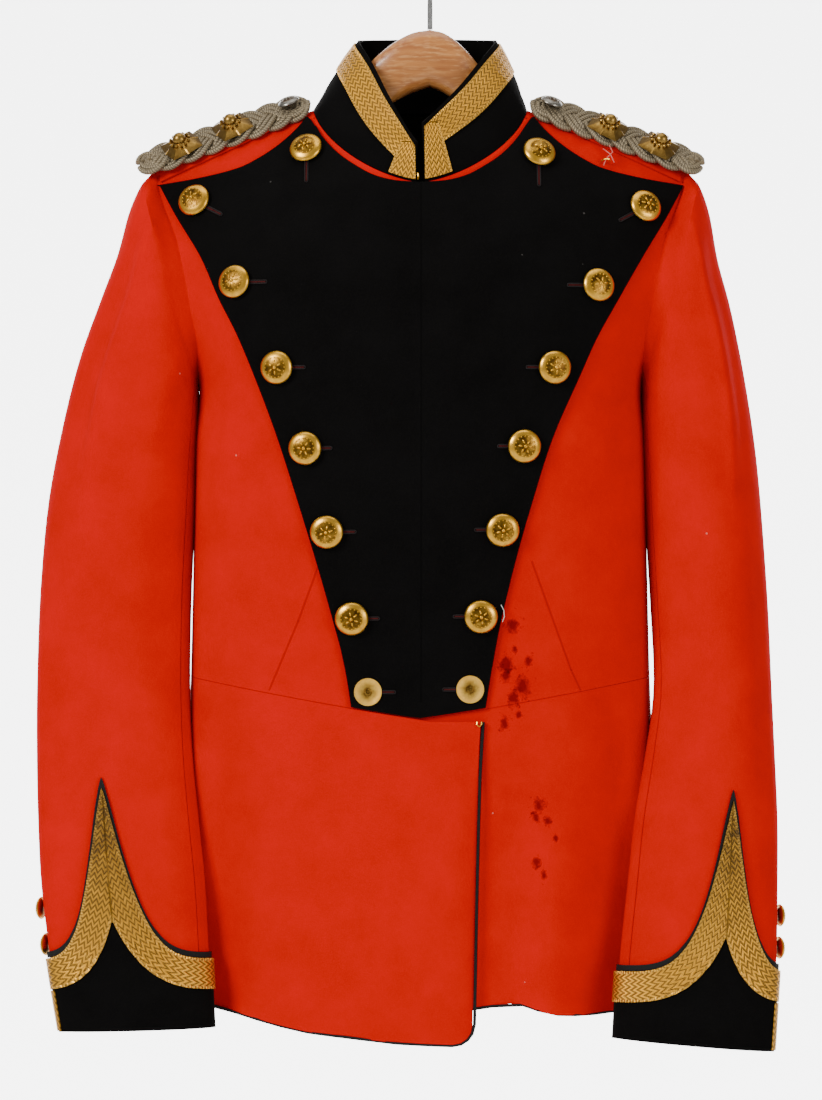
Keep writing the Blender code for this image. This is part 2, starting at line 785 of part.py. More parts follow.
def surface_place(side, x, z, lift):
    """A point above the front at a distance from the centre and a height, and its direction."""
    step = 2 * MM
    here = body_point("front", side, x, z)
    across = body_point("front", side, x + step, z) - here
    down = body_point("front", side, x, z - step) - here
    normal = np.cross(across, down)
    if normal[1] > 0:
        normal = -normal
    normal /= np.linalg.norm(normal)
    return here + normal * lift, normal


def build_plastron(materials):
    points, normals = plastron_points(PLASTRON_GAP + FACING_CLOTH)
    add_layer("plastron", points, normals, FACING_CLOTH, materials["black"])


def dome_profile(radius, height):
    """A domed button with a low base behind its rim, from its back over the dome."""
    rim = 0.3 * height
    profile = [(0, 0), (0.5 * radius, 0), (radius, rim)]
    for angle in (34, 64):
        profile.append((radius * math.cos(math.radians(angle)),
                        rim + (height - rim) * math.sin(math.radians(angle))))
    profile.append((0, height))
    return profile


def flat_profile(radius):
    """A flat disc with a raised rim and a small post in its middle."""
    thick = FLAT_BUTTON_THICK
    back = [(0, 0), (0.9 * radius, 0), (radius, 0.5 * thick)]
    rim = [(0.92 * radius, thick), (0.8 * radius, 0.75 * thick)]
    post = [(0.3 * radius, 0.6 * thick), (0.26 * radius, 1.25 * thick), (0, 1.25 * thick)]
    return back + rim + post


def build_buttons(materials):
    lift = PLASTRON_GAP + FACING_CLOTH
    for side, places in (("right", BUTTONS_RIGHT), ("left", BUTTONS_LEFT)):
        for count, (x, z) in enumerate(places, 1):
            place, axis = surface_place(side, x * MM, z * MM, lift + BUTTON_CLEAR)
            add_turned(f"button_{side}_{count}", dome_profile(BUTTON_RADIUS, BUTTON_HEIGHT), place, axis,
                       materials["gilt"])
        x, z = FLAT_BUTTONS[side]
        place, axis = surface_place(side, x * MM, z * MM, lift + FLAT_BUTTON_CLEAR)
        add_turned(f"button_flat_{side}", flat_profile(FLAT_BUTTON_RADIUS), place, axis, materials["gilt"])


def sleeve_row(side, v):
    """The sizes of a sleeve's ring at a place along its table of rings."""
    table = SLEEVE_RIGHT if side == "right" else SLEEVE_LEFT
    rows = [(i, *row) for i, row in enumerate(table)]
    return [smooth_table(rows, column, v) * MM for column in range(1, 7)]


def armhole_spot(side, angle):
    """A point of the bodice's armhole edge by its angle: 0 at the shoulder, 180 at the armpit."""
    wrapped = (angle + 360) % 360
    face = "front" if wrapped <= 180 else "back"
    z = TIP_Z + (PIT_Z - TIP_Z) * 0.5 * (1 - math.cos(math.radians(wrapped)))
    return body_point(face, side, edge_x(face, 1, z), z)


def sleeve_spot(side, angle, v):
    """A point of the sleeve's outside, by its angle and its place along the rings."""
    sign = -1 if side == "right" else 1
    if v < 1:
        seam = armhole_spot(side, angle)
        if v <= 0:
            return seam + np.array([sign * ARMHOLE_GAP, 0, 0])
    outer_x, outer_z, inner_x, inner_z, depth, middle_y = sleeve_row(side, max(v, 1))
    outer = np.array([sign * outer_x + HANG_OFFSET, middle_y, outer_z])
    inner = np.array([sign * inner_x + HANG_OFFSET, middle_y, inner_z])
    arm = 0.5 * (outer - inner)
    c, s = math.cos(math.radians(angle)), math.sin(math.radians(angle))
    spot = 0.5 * (outer + inner) + arm * c + np.array([0, -depth * s, 0])
    half = np.linalg.norm(arm)
    away = arm / half * c * depth + np.array([0, -1, 0]) * s * half
    away /= np.linalg.norm(away)
    spot = spot - away * sleeve_crease(side, angle, spot[2])
    if v < 1:
        return seam + (spot - seam) * v
    return spot


def sleeve_crease(side, angle, z):
    """Depth of the sleeve's creases at an angle and a height."""
    depth = 0.0
    for place, top, bottom, width, size in SLEEVE_FOLDS[side]:
        along = (top * MM - z) / ((top - bottom) * MM)
        if 0 < along < 1:
            apart = (angle - place + 180) % 360 - 180
            depth += size * MM * math.sin(math.pi * along) * math.exp(-(apart / width) ** 2)
    return depth


def sleeve_at_height(side, angle, z):
    """The lower sleeve's point at an angle where it reaches a height, found by halving."""
    low, high = 7.0, float(len(SLEEVE_RIGHT) - 1)
    for _ in range(24):
        middle = 0.5 * (low + high)
        if sleeve_spot(side, angle, middle)[2] > z:
            low = middle
        else:
            high = middle
    return sleeve_spot(side, angle, 0.5 * (low + high))


def cuff_angles(side):
    """Angles round the sleeve, close together at the cuff's point."""
    point = CUFF_POINT_ANGLE[side]
    start = HIND_SEAM
    before = [point - step for step in CUFF_STEPS if point - step > start + 6]
    after = [point + step for step in CUFF_STEPS[1:] if point + step < start + 354]
    return [start] + sorted(before) + after + [start + 360]


def sleeve_middle(side, v):
    """The middle of the sleeve at a place along its rings."""
    return 0.5 * (sleeve_spot(side, 0, v) + sleeve_spot(side, 180, v))


def build_sleeves(materials):
    last = len(SLEEVE_RIGHT) - 1
    stops = [0, 0.5] + list(range(1, last)) + [last - 0.03]
    gap = SLEEVE_SEAM_ANGLE
    for side in ("right", "left"):
        angles = cuff_angles(side)
        upper = [HIND_SEAM + gap] + [a for a in angles if HIND_SEAM < a < FORE_SEAM - 3] + [FORE_SEAM - gap]
        under = [FORE_SEAM + gap] + [a for a in angles if FORE_SEAM + 3 < a < HIND_SEAM + 360]
        under += [HIND_SEAM + 360 - gap]
        for name, stations in (("top_sleeve", upper), ("under_sleeve", under)):
            ghosted = [2 * stations[0] - stations[1]] + stations + [2 * stations[-1] - stations[-2]]
            points = np.array([[sleeve_spot(side, a, v) for a in ghosted] for v in stops])
            middle = np.array([[sleeve_middle(side, max(v, 1))] for v in stops])
            normals = outward_normals(points, points - middle)[:, 1:-1]
            add_panel(f"{name}_{side}", points[:, 1:-1], normals, CLOTH, materials["red"])


def cuff_top(side, angle):
    """Height of the cuff's upper line at an angle round the sleeve."""
    apart = abs(angle - CUFF_POINT_ANGLE[side])
    fall = CUFF_FALL * (1 - math.exp(-(apart / CUFF_SPREAD) ** 1.3))
    return CUFF_POINT_Z[side] - fall


def tracing_rise(side, angle):
    """Height of the tracing braid over the cuff's line, more where the line is steep."""
    apart = abs(angle - CUFF_POINT_ANGLE[side])
    steep = max(2.6 - abs(apart - 6) / 7, 0.0)
    return TRACING_CLEAR + TRACING_WIDTH * math.sqrt(1 + steep ** 2)


def lace_foot(side, angle):
    """Height of the lace's lower line at an angle round the sleeve."""
    apart = abs(angle - CUFF_POINT_ANGLE[side])
    return CUFF_POINT_Z[side] - LACE_POINT_FALL - LACE_FALL * (1 - math.exp(-(apart / LACE_SPREAD) ** 1.1))


def sleeve_layer(side, angles, top, foot, shares, lift):
    """A grid between two lines round the sleeve, moved out from its outside."""
    points = []
    for share in shares:
        line = []
        for angle in angles:
            high, low = top(angle), foot(angle)
            line.append(sleeve_at_height(side, angle, high + (low - high) * share))
        points.append(line)
    points = np.array(points)
    outward = (points - sleeve_middle(side, len(SLEEVE_RIGHT) - 2)) * np.array([1, 1, 0])
    normals = outward_normals(points, outward)
    return points + normals * lift, normals


def build_cuffs(materials):
    for side in ("right", "left"):
        angles = cuff_angles(side)
        angles[0] += SLEEVE_SEAM_ANGLE
        angles[-1] -= SLEEVE_SEAM_ANGLE
        hem = {a: sleeve_spot(side, a, len(SLEEVE_RIGHT) - 1)[2] + 0.5 * MM for a in angles}
        cloth_lift = LAYER_GAP + FACING_CLOTH
        lace_lift = cloth_lift + LACE + LACE_GAP

        def top(angle):
            return cuff_top(side, angle)

        def lace_bottom(angle):
            if angle - HIND_SEAM < LACE_STRIP_ANGLE:
                return hem[angle] + 1 * MM
            return lace_foot(side, angle)

        shares = (0, 0.33, 0.67, 1)
        points, normals = sleeve_layer(side, angles, top, lambda a: hem[a], shares, cloth_lift)
        add_layer(f"cuff_{side}", points, normals, FACING_CLOTH, materials["black"])
        points, normals = sleeve_layer(side, angles, lambda a: top(a) - SEAM_GAP, lace_bottom, shares,
                                       lace_lift)
        add_layer(f"cuff_lace_{side}", points, normals, LACE, materials["gold"])
        points, normals = sleeve_layer(side, angles, lambda a: top(a) + tracing_rise(side, a),
                                       lambda a: top(a) + TRACING_CLEAR, (0, 0.5, 1),
                                       TRACING_THICK + TRACING_GAP)
        add_layer(f"cuff_tracing_{side}", points, normals, TRACING_THICK, materials["black"])
        for count, z in enumerate(CUFF_BUTTONS_Z[side], 1):
            on_lace = z * MM < top(HIND_SEAM) + CUFF_BUTTON_RADIUS
            build_cuff_button(f"cuff_button_{side}_{count}", side, z * MM,
                              lace_lift + SEAM_GAP if on_lace else LAYER_GAP, materials["gilt"])


def build_cuff_button(name, side, z, lift, material):
    """A small button at the back of the sleeve, square to it."""
    place = sleeve_at_height(side, CUFF_BUTTON_ANGLE, z)
    ahead = sleeve_at_height(side, CUFF_BUTTON_ANGLE + 4, z)
    along = ahead - sleeve_at_height(side, CUFF_BUTTON_ANGLE - 4, z)
    axis = np.array([along[1], -along[0], 0])
    axis /= np.linalg.norm(axis)
    if np.dot(axis, place - sleeve_middle(side, len(SLEEVE_RIGHT) - 3)) < 0:
        axis = -axis
    add_turned(name, dome_profile(CUFF_BUTTON_RADIUS, SMALL_BUTTON_HEIGHT), place + axis * lift, axis,
               material, segments=10)


def collar_stations():
    """Places along the collar's foot, front edge to centre back: face, x, share of the way."""
    places = []
    for x in (COLLAR_FRONT_X / MM,) + NECK_STATIONS[1:]:
        turn = math.asin((x * MM / NECK_HALF) ** 1.05) / (0.5 * math.pi)
        places.append(("front", x * MM, COLLAR_SIDE_SHARE * turn))
    for x in NECK_STATIONS[-2::-1]:
        turn = math.asin((x * MM / NECK_HALF) ** 1.25) / (0.5 * math.pi)
        places.append(("back", x * MM, 1 - (1 - COLLAR_SIDE_SHARE) * turn))
    first = places[0][2]
    return [(face, x, max(share - first, 0.0) / (1 - first)) for face, x, share in places]


def collar_base(side, place):
    """The collar's foot, standing on the neck edge of the bodice."""
    face, x, _ = place
    return body_point(face, side, x, neck_z(face, x)) + np.array([0, 0, 1.2 * SEAM_GAP])


def collar_top(side, share):
    """The collar's top edge at a share of the way round from its front edge."""
    sign = -1 if side == "right" else 1
    rows = COLLAR_TOP[side]
    x, y, z = (smooth_table(rows, column, share) * MM for column in (1, 2, 3))
    return np.array([sign * x + HANG_OFFSET + COLLAR_TOP_SHIFT * share, y, z])


def collar_spot(side, place, rise):
    """A point of the collar's outside: rise runs from its foot to its top edge."""
    foot, top = collar_base(side, place), collar_top(side, place[2])
    spot = foot + (top - foot) * rise
    away = (spot - np.array([HANG_OFFSET, COLLAR_AXIS_Y, 0])) * np.array([1, 1, 0])
    away /= np.linalg.norm(away)
    return spot + away * COLLAR_BULGE * 4 * rise * (1 - rise) * smooth_step(place[2] * 4)


def collar_grid(rises, lift):
    """The collar from its right front edge round the back to its left front edge."""
    places = collar_stations()
    stations = [("right", place) for place in places] + [("left", place) for place in places[-2::-1]]
    points = np.array([[collar_spot(side, place, rises(side, place, t)) for side, place in stations]
                       for t in (0, 0.25, 0.5, 0.75, 1)])
    outward = (points - np.array([HANG_OFFSET, COLLAR_AXIS_Y, 0])) * np.array([1, 1, 0])
    normals = outward_normals(points, outward)
    return points + normals * lift, normals


def collar_height(side, place):
    """The collar's height from its foot to its top edge."""
    return np.linalg.norm(collar_top(side, place[2]) - collar_base(side, place))


def build_collar(materials):
    points, normals = collar_grid(lambda side, place, t: 1 - t, 0)
    add_layer("collar", points, normals, COLLAR_CLOTH, materials["black"])

    def lace_rise(side, place, t):
        height = collar_height(side, place)
        top = 1 - COLLAR_RIM / height
        front = place[0] == "front" and place[1] < COLLAR_LACE_WIDTH + COLLAR_FRONT_X
        foot = 0.05 if front else 1 - (COLLAR_RIM + COLLAR_LACE_WIDTH) / height
        return top + (foot - top) * t

    points, normals = collar_grid(lace_rise, LACE + LACE_GAP)
    add_layer("collar_lace", points, normals, LACE, materials["gold"])
    place = collar_spot("right", collar_stations()[0], 0.12) + np.array([1.6, 0.6, 0]) * MM
    route = [place + np.array(step) * MM for step in ((0, 0, -2.5), (0.4, -0.6, 0), (0, 0, 2.5))]
    add_tube("collar_hook", route, 0.7 * MM, materials["gilt"])


def strap_frame(side, x):
    """The middle of the cord's underside at a place along the shoulder: the spot, along, up and across."""
    sign = -1 if side == "right" else 1
    slope = np.array([sign, 0, -RIDGE_SLOPE]) / math.hypot(1, RIDGE_SLOPE)
    level_up = np.array([sign * RIDGE_SLOPE, 0, 1]) / math.hypot(1, RIDGE_SLOPE)
    tilt = math.radians(CORD_TILT)
    up = level_up * math.cos(tilt) - np.array([0, math.sin(tilt), 0])
    across = level_up * math.sin(tilt) + np.array([0, math.cos(tilt), 0])
    spot = np.array([sign * x + HANG_OFFSET, CORD_MIDDLE_Y, ridge_z(x)]) + level_up * CORD_LIFT
    return spot, slope, up, across


def strap_points(side):
    """The strap's grid, laid over the shoulder seam from the back to the front."""
    grid = []
    for t in np.linspace(0, 1, 7):
        x = STRAP_NECK_X + (STRAP_TIP_X - STRAP_NECK_X) * t
        front = STRAP_NECK_DROP + (STRAP_TIP_DROP - STRAP_NECK_DROP) * t
        drops = [("back", STRAP_BACK_DROP), ("back", 0.3 * STRAP_BACK_DROP), ("front", 0.0),
                 ("front", 0.15 * front), ("front", 0.5 * front), ("front", front)]
        grid.append([body_point(face, side, x, ridge_z(x) - drop) for face, drop in drops])
    return np.array(grid)


def build_shoulders(materials):
    for side in ("right", "left"):
        points = strap_points(side)
        normals = outward_normals(points, points * 0 + np.array([0, 0, 1]))
        points = points + normals * (LAYER_GAP + FACING_CLOTH)
        add_layer(f"shoulder_strap_{side}", points, normals, FACING_CLOTH, materials["red"])
        build_cord(side, materials["cord"])
        for count, share in enumerate(BADGE_PLACES, 1):
            x = CORD_NECK_X + (CORD_TIP_X - CORD_NECK_X) * share
            spot, along, up, across = strap_frame(side, x)
            add_badge(f"badge_{side}_{count}", spot + up * (CORD_THICK + BADGE_GAP), along, up, across,
                      materials["gilt"])
        spot, along, up, across = strap_frame(side, SHOULDER_BUTTON_X)
        lean = up + 0.35 * across
        lean /= np.linalg.norm(lean)
        add_turned(f"shoulder_button_{side}", dome_profile(SHOULDER_BUTTON_RADIUS, SMALL_BUTTON_HEIGHT),
                   spot + up * (CORD_THICK + SHOULDER_BUTTON_GAP), lean, materials["gilt"], segments=10)


def cord_half(t):
    """Half width of the plaited cord along its length, scalloped and rounded at its ends."""
    wave = CORD_SCALLOP * (abs(math.sin(math.pi * CORD_PLAITS * t)) - 0.6)
    ends = math.sqrt(max(1 - (2 * t - 1) ** 10, 0.02))
    return (CORD_HALF + wave) * ends


def cord_top(t, offset_share):
    """Height of the plait over the cord's underside: two strands crossing in turn."""
    strand = math.cos(math.pi * CORD_PLAITS * t) * math.sin(math.pi * offset_share)
    edge = math.sqrt(max(1 - (0.96 * offset_share) ** 4, 0.0))
    return CORD_THICK * (0.55 + 0.45 * edge) * (0.86 + 0.14 * strand)


def build_cord(side, material):
    """The plaited cord as one closed body, its underside following the strap."""
    steps = CORD_PLAITS * 4 + 1
    shares = (-1, -0.55, 0, 0.55, 1)
    tops, feet = [], []
    for t in np.linspace(0.006, 0.994, steps):
        x = CORD_NECK_X + (CORD_TIP_X - CORD_NECK_X) * t
        spot, along, up, across = strap_frame(side, x)
        half = cord_half(t)
        tops.append([spot + across * half * f + up * cord_top(t, f) for f in shares])
        feet.append([spot + across * half * f for f in shares])
    rings = [row + foot[::-1] for row, foot in zip(tops, feet)]
    add_loft(f"shoulder_cord_{side}", rings, material)


def add_loft(name, rings, material):
    """A closed body through rings of equal count, with flat ends."""
    mesh = bpy.data.meshes.new(name)
    count = len(rings[0])
    vertices = [tuple(p) for ring in rings for p in ring]
    faces = []
    for i in range(len(rings) - 1):
        for j in range(count):
            a, b = i * count + j, i * count + (j + 1) % count
            faces.append((a, b, b + count, a + count))
    faces.append(tuple(range(count))[::-1])
    faces.append(tuple(range(len(vertices) - count, len(vertices))))
    mesh.from_pydata(vertices, [], faces)
    form = bmesh.new()
    form.from_mesh(mesh)
    bmesh.ops.recalc_face_normals(form, faces=form.faces)
    form.to_mesh(mesh)
    form.free()
    return link(bpy.data.objects.new(name, mesh), material)


def add_badge(name, place, along, up, across, material):
    """A four-pointed star with a small boss, a plain stand-in for a rank badge."""
    points = 8
    rings = []
    for height, size, waist in BADGE_RINGS:
        ring = []
        for i in range(points):
            angle = math.pi * 2 * i / points
            radius = BADGE_SIZE * (size if i % 2 == 0 else waist)
            ring.append(place + along * radius * math.cos(angle) + across * radius * math.sin(angle)
                        + up * BADGE_HEIGHT * height)
        rings.append(ring)
    add_loft(name, rings, material)


def hanger_ring(side, x, top, bottom, half, middle_y):
    """One ring of the hanger, a soft rectangle in an upright plane."""
    centre_x = (-x if side == "right" else x) * MM + HANG_OFFSET * min(x / 60, 1.0)
    middle = 0.5 * (top + bottom)
    high = 0.5 * (top - bottom)
    ring = []
    for angle in range(0, 360, 30):
        c, s = math.cos(math.radians(angle)), math.sin(math.radians(angle))
        y = middle_y + half * math.copysign(abs(c) ** 0.7, c)
        z = middle + high * math.copysign(abs(s) ** 0.8, s)
        ring.append(np.array([centre_x, y * MM, z * MM]))
    return ring


def build_hanger(materials):
    """The wooden hanger as one lofted body, and its wire hook."""
    rings = [hanger_ring("right", *row) for row in HANGER[:0:-1]]
    rings += [hanger_ring("left", *row) for row in HANGER]
    add_loft("hanger_wood", rings, materials["wood"])
    centre = np.array([0, 0, -(HOOK_RADIUS - HOOK_WIRE)])
    stem_top = centre[2] - HOOK_RADIUS - 1 * MM
    stem_foot = HANGER[0][1] * MM + SEAM_GAP
    route = [np.array([0, 0, z]) for z in (stem_foot, 0.5 * (stem_top + stem_foot), stem_top)]
    for degrees in range(HOOK_START_ANGLE, HOOK_END_ANGLE + 1, 17):
        angle = math.radians(degrees)
        route.append(centre + HOOK_RADIUS * np.array([math.cos(angle), 0, math.sin(angle)]))
    add_tube("hanger_hook", route, HOOK_WIRE, materials["steel"])


def build_small_metal(materials):
    """The waist hook on the lap's corner and the loop on the left shoulder."""
    spot = skirt_point("front", "right", WAIST_HOOK_INSET - LAP_TOP_X, LAP_TOP_Z - WAIST_HOOK_INSET)
    spot = spot - np.array([0, LAP_RISE + WAIST_HOOK_LIFT, 0])
    route = [spot + np.array(step) * MM for step in WAIST_HOOK_ROUTE]
    add_tube("waist_hook", route, 0.6 * MM, materials["gilt"])
    place, axis = surface_place("left", LOOP_X, LOOP_Z, LOOP_LIFT)
    loop = []
    for degrees in range(0, 181, 30):
        angle = math.radians(degrees)
        rise = axis * LOOP_HEIGHT * math.sin(angle)
        loop.append(place + np.array([LOOP_HALF * math.cos(angle), 0, 0]) + rise)
    add_tube("strap_loop", loop, 0.8 * MM, materials["gilt"])


def main():
    clear_scene()
    collection = bpy.data.collections.new("military_tunic")
    bpy.context.scene.collection.children.link(collection)
    materials = {
        "red": make_material("scarlet_cloth", RED, 0.9),
        "black": make_material("black_cloth", BLACK, 0.9),
        "gold": make_material("gold_lace", GOLD, 0.5, 0.6),
        "gilt": make_material("gilt_brass", GILT, 0.3, 1.0),
        "cord": make_material("metal_cord", CORD_METAL, 0.45, 0.7),
        "wood": make_material("varnished_wood", WOOD, 0.35),
        "steel": make_material("bright_steel", STEEL, 0.25, 1.0),
    }
    build_bodices(materials)
    build_skirts(materials)
    build_plastron(materials)
    build_buttons(materials)
    build_sleeves(materials)
    build_cuffs(materials)
    build_collar(materials)
    build_shoulders(materials)
    build_small_metal(materials)
    build_hanger(materials)


main()
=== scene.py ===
"""The looks of a scarlet military tunic on its hanger: cloth, lace, cords, buttons and light.

+Z is up, the front faces -Y, the origin is the inside top of the hanger's hook. Tables are in
millimetres, everything built is in metres. Right and left are the wearer's: right lies to -X.
"""
import math

import bmesh
import bpy
import numpy as np
from mathutils import Matrix, Vector


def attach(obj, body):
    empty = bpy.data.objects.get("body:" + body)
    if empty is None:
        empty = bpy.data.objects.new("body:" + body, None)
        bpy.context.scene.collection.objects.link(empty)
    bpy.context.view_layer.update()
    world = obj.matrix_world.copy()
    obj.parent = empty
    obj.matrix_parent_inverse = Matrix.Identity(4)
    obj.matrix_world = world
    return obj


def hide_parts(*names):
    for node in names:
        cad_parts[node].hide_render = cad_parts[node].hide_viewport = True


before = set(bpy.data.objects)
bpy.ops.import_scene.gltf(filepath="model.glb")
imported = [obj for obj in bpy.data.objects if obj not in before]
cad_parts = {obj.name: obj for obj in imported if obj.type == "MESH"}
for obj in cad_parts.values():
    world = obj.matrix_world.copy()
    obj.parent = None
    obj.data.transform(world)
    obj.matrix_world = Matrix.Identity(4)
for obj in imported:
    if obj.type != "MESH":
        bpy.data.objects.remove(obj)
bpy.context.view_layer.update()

MM = 0.001

# Cloth walls and gaps
CLOTH = 1.8 * MM
FACING_CLOTH = 1.4 * MM
COLLAR_CLOTH = 2.6 * MM
LACE = 1.0 * MM
SEAM_GAP = 0.3 * MM
LAYER_GAP = 1.0 * MM
PLASTRON_GAP = 1.4 * MM

# The garment hangs a little to one side of the hook
HANG_OFFSET = -7.5 * MM

# Shoulders and neck, from the garment's centre line
NECK_HALF = 82 * MM
NECK_SIDE_Z = -146.5 * MM
NECK_FRONT_DROP = 59 * MM
NECK_BACK_DROP = 16 * MM
TIP_HALF = 202 * MM
TIP_Z = -191 * MM
RIDGE_SLOPE = (NECK_SIDE_Z - TIP_Z) / (TIP_HALF - NECK_HALF)
RIDGE_ROUND = 8 * MM
RIDGE_SHARE = 0.14
CHEST_DROP = 150 * MM
PIT_Z = -358 * MM
SQUARENESS = 2.5

# height, half width, depth to the front, depth to the back
BODY = [
    (-110, 210, 86, 64),
    (-204, 210, 86, 66),
    (-250, 200, 86, 71),
    (-300, 189, 88, 76),
    (-331, 177, 91, 79),
    (-358, 170, 92, 80),
    (-400, 172.5, 92, 79),
    (-450, 173.5, 89, 75),
    (-520, 175, 82, 68),
    (-583, 176.5, 77, 63),
    (-620, 178, 78, 65),
    (-700, 183, 83, 73),
    (-780, 188, 88, 81),
    (-860, 193, 92, 87),
]

# height, how far round each panel reaches at the armhole, in degrees
ARMHOLE = [
    (-110, 72, 72),
    (-200, 72, 72),
    (-250, 66, 68),
    (-300, 66, 66),
    (-331, 73, 72),
    (-358, 90, 90),
]

# Waist seam: lowest at the centre front
WAIST_FRONT_Z = -613 * MM
WAIST_BACK_Z = -590 * MM
WAIST_SIDE_Z = -582 * MM

# Hems, by the distance from the centre line towards each side
HEM_RIGHT = [
    (-60, -858), (-20, -857), (20, -855), (54, -851), (81, -848), (108, -842), (131, -836),
    (157, -830), (195, -826),
]
HEM_LEFT = [
    (-40, -832), (20, -832), (44, -830), (68, -826), (80, -828), (100, -834), (139, -834), (195, -826),
]
HEM_BACK_Z = -836 * MM
HEM_SIDE_Z = -826 * MM

# The lap of the right skirt over the left one
LAP_TOP_X = 46 * MM
LAP_HEM_X = 39 * MM
LAP_TOP_Z = -615 * MM
LAP_RISE = 3.0 * MM
LAP_CORNER = 15 * MM
UNDERLAP = 24
LAP_INSETS = (0, 1.5, 4.5, 9, 15, 26, 38)
LAP_FADE_X = 60 * MM
LAP_FADE = 34 * MM

# Largest folds of the body: side, distance from the centre, top, bottom, width, depth (a ridge is negative)
BODY_FOLDS = [
    ("left", 66, -620, -860, 20, 7.0),
    ("left", 104, -640, -860, 20, -4.0),
    ("left", 150, -560, -860, 17, 6.0),
    ("right", 150, -560, -860, 17, 6.5),
    ("right", 112, -640, -860, 24, -3.5),
    ("right", 161, -270, -450, 12, 5.0),
    ("left", 158, -285, -460, 12, 4.0),
    ("back", 55, -600, -860, 18, 8.0),
    ("back", -55, -600, -860, 18, 8.0),
    ("back", 105, -300, -520, 22, 4.0),
    ("back", -105, -300, -520, 22, 4.0),
]

# Plastron: height, reach to the wearer's right, reach to the left
PLASTRON_EDGE = [
    (-204, 201, 203),
    (-231, 186, 188),
    (-262, 167, 169),
    (-293, 153, 151),
    (-323, 138, 134),
    (-354, 125, 120),
    (-400, 108, 100),
    (-447, 93, 85),
    (-493, 79, 72),
    (-539, 66, 61),
    (-570, 58, 55),
    (-614, 51, 48),
]
PLASTRON_PEAK_DROP = 6.5 * MM
PLASTRON_FOOT_LIFT = 0.8 * MM
PLASTRON_STATIONS = (0, 22, 42, 56, 66, 74, 80, 86, 93, 104, 120, 143, 172, 201)

# The plastron's top line: distance from the centre, height
PLASTRON_TOP = [
    (0, -207), (20, -205.5), (36, -201), (50, -193), (61, -185), (69, -177), (76, -168), (81, -160),
    (86, -154.5), (92, -161.5), (101, -170.5), (110, -178), (122, -186), (138, -194), (170, -201.5),
    (203, -206),
]

# Sleeve rings: outer x, outer z, inner x, inner z, half depth, middle y
SLEEVE_RIGHT = [
    (204, -193, 170, -358.5, 40, 1),
    (214, -203, 170, -364, 46, 1),
    (224, -225, 170, -370, 50, 1),
    (233, -258, 170, -377, 52, 1),
    (246, -293, 170, -385, 51, 0),
    (262, -338, 170.5, -400, 49, -1),
    (275, -390, 171.5, -424, 47, -3),
    (286, -450, 172.5, -462, 44, -6),
    (292, -520, 175, -522, 40, -9),
    (294, -590, 176, -590, 36, -15),
    (293.5, -640, 174, -640, 33, -26),
    (291.5, -690, 169, -690, 30, -42),
    (288, -740, 163.5, -740, 27, -57),
    (280, -796, 160, -796, 23, -72),
    (270.5, -849, 157, -846, 20, -84),
]
SLEEVE_LEFT = [
    (204, -193, 170, -358.5, 40, 1),
    (214, -203, 170, -364, 46, 1),
    (222.5, -226, 170, -370, 50, 1),
    (229, -262, 170, -377, 53, 1),
    (239, -300, 169.5, -386, 53, 0),
    (249, -350, 169.5, -404, 52, -1),
    (257, -402, 171, -430, 51, -3),
    (262, -452, 172.5, -466, 50, -5),
    (267, -525, 176, -526, 49, -8),
    (269.5, -590, 178.5, -590, 46, -16),
    (271, -640, 172, -640, 42, -31),
    (272, -690, 163, -690, 37, -50),
    (271, -740, 157, -740, 31, -66),
    (269, -796, 150.5, -796, 25, -82),
    (264, -863, 146.5, -853, 21, -97),
]
HIND_SEAM = -12.0
FORE_SEAM = 152.0
SLEEVE_SEAM_ANGLE = 1.35
ARMHOLE_GAP = -0.5 * MM

# Creases of each sleeve: angle, top, bottom, width in degrees, depth (a ridge is negative)
SLEEVE_FOLDS = {
    "right": [(38, -235, -430, 13, 5.0), (66, -260, -520, 16, -3.5), (128, -430, -610, 20, 3.0),
              (215, -400, -640, 24, 5.0), (285, -300, -560, 22, 4.0)],
    "left": [(52, -235, -440, 13, -4.0), (96, -250, -420, 18, 3.5), (120, -480, -640, 18, 4.5),
             (215, -400, -640, 24, 5.0), (285, -300, -560, 22, 4.0)],
}

# Cuffs: where the point stands round the sleeve, its height, and the two curves below it
CUFF_POINT_ANGLE = {"right": 81.0, "left": 71.0}
CUFF_POINT_Z = {"right": -666 * MM, "left": -675 * MM}
CUFF_SPREAD = 18.0
CUFF_FALL = 128 * MM
LACE_POINT_FALL = 91 * MM
LACE_FALL = 63 * MM
LACE_SPREAD = 19.0
LACE_STRIP_ANGLE = 30.0
TRACING_WIDTH = 3.5 * MM
TRACING_THICK = 1.8 * MM
TRACING_CLEAR = 1.2 * MM
TRACING_GAP = 0.6 * MM
LACE_GAP = 0.7 * MM
CUFF_STEPS = [0, 6, 13, 21, 32, 46, 62, 79, 95, 115, 138, 160, 182, 205, 228, 248, 262]

# Collar: share of the way round from the front edge to the centre back, then x, y, z of its top edge
COLLAR_TOP = {
    "right": [(0.0, 3.5, -61, -175), (0.3, 25, -34, -138), (0.5, 39, -16, -111), (0.64, 50, 8, -93.5),
              (0.76, 47, 25, -90.5), (0.88, 27, 33, -89.5), (1.0, 0, 36, -89)],
    "left": [(0.0, 2.5, -61, -160), (0.3, 29, -34, -130), (0.5, 46, -16, -107), (0.64, 56, 8, -93),
             (0.76, 51, 25, -90.5), (0.88, 29, 33, -89.5), (1.0, 0, 36, -89)],
}
COLLAR_SIDE_SHARE = 0.55
COLLAR_FRONT_X = 3.5 * MM
COLLAR_BULGE = 4.5 * MM
COLLAR_RIM = 3.2 * MM
COLLAR_LACE_WIDTH = 21 * MM
COLLAR_TOP_SHIFT = 4 * MM
COLLAR_AXIS_Y = -10 * MM

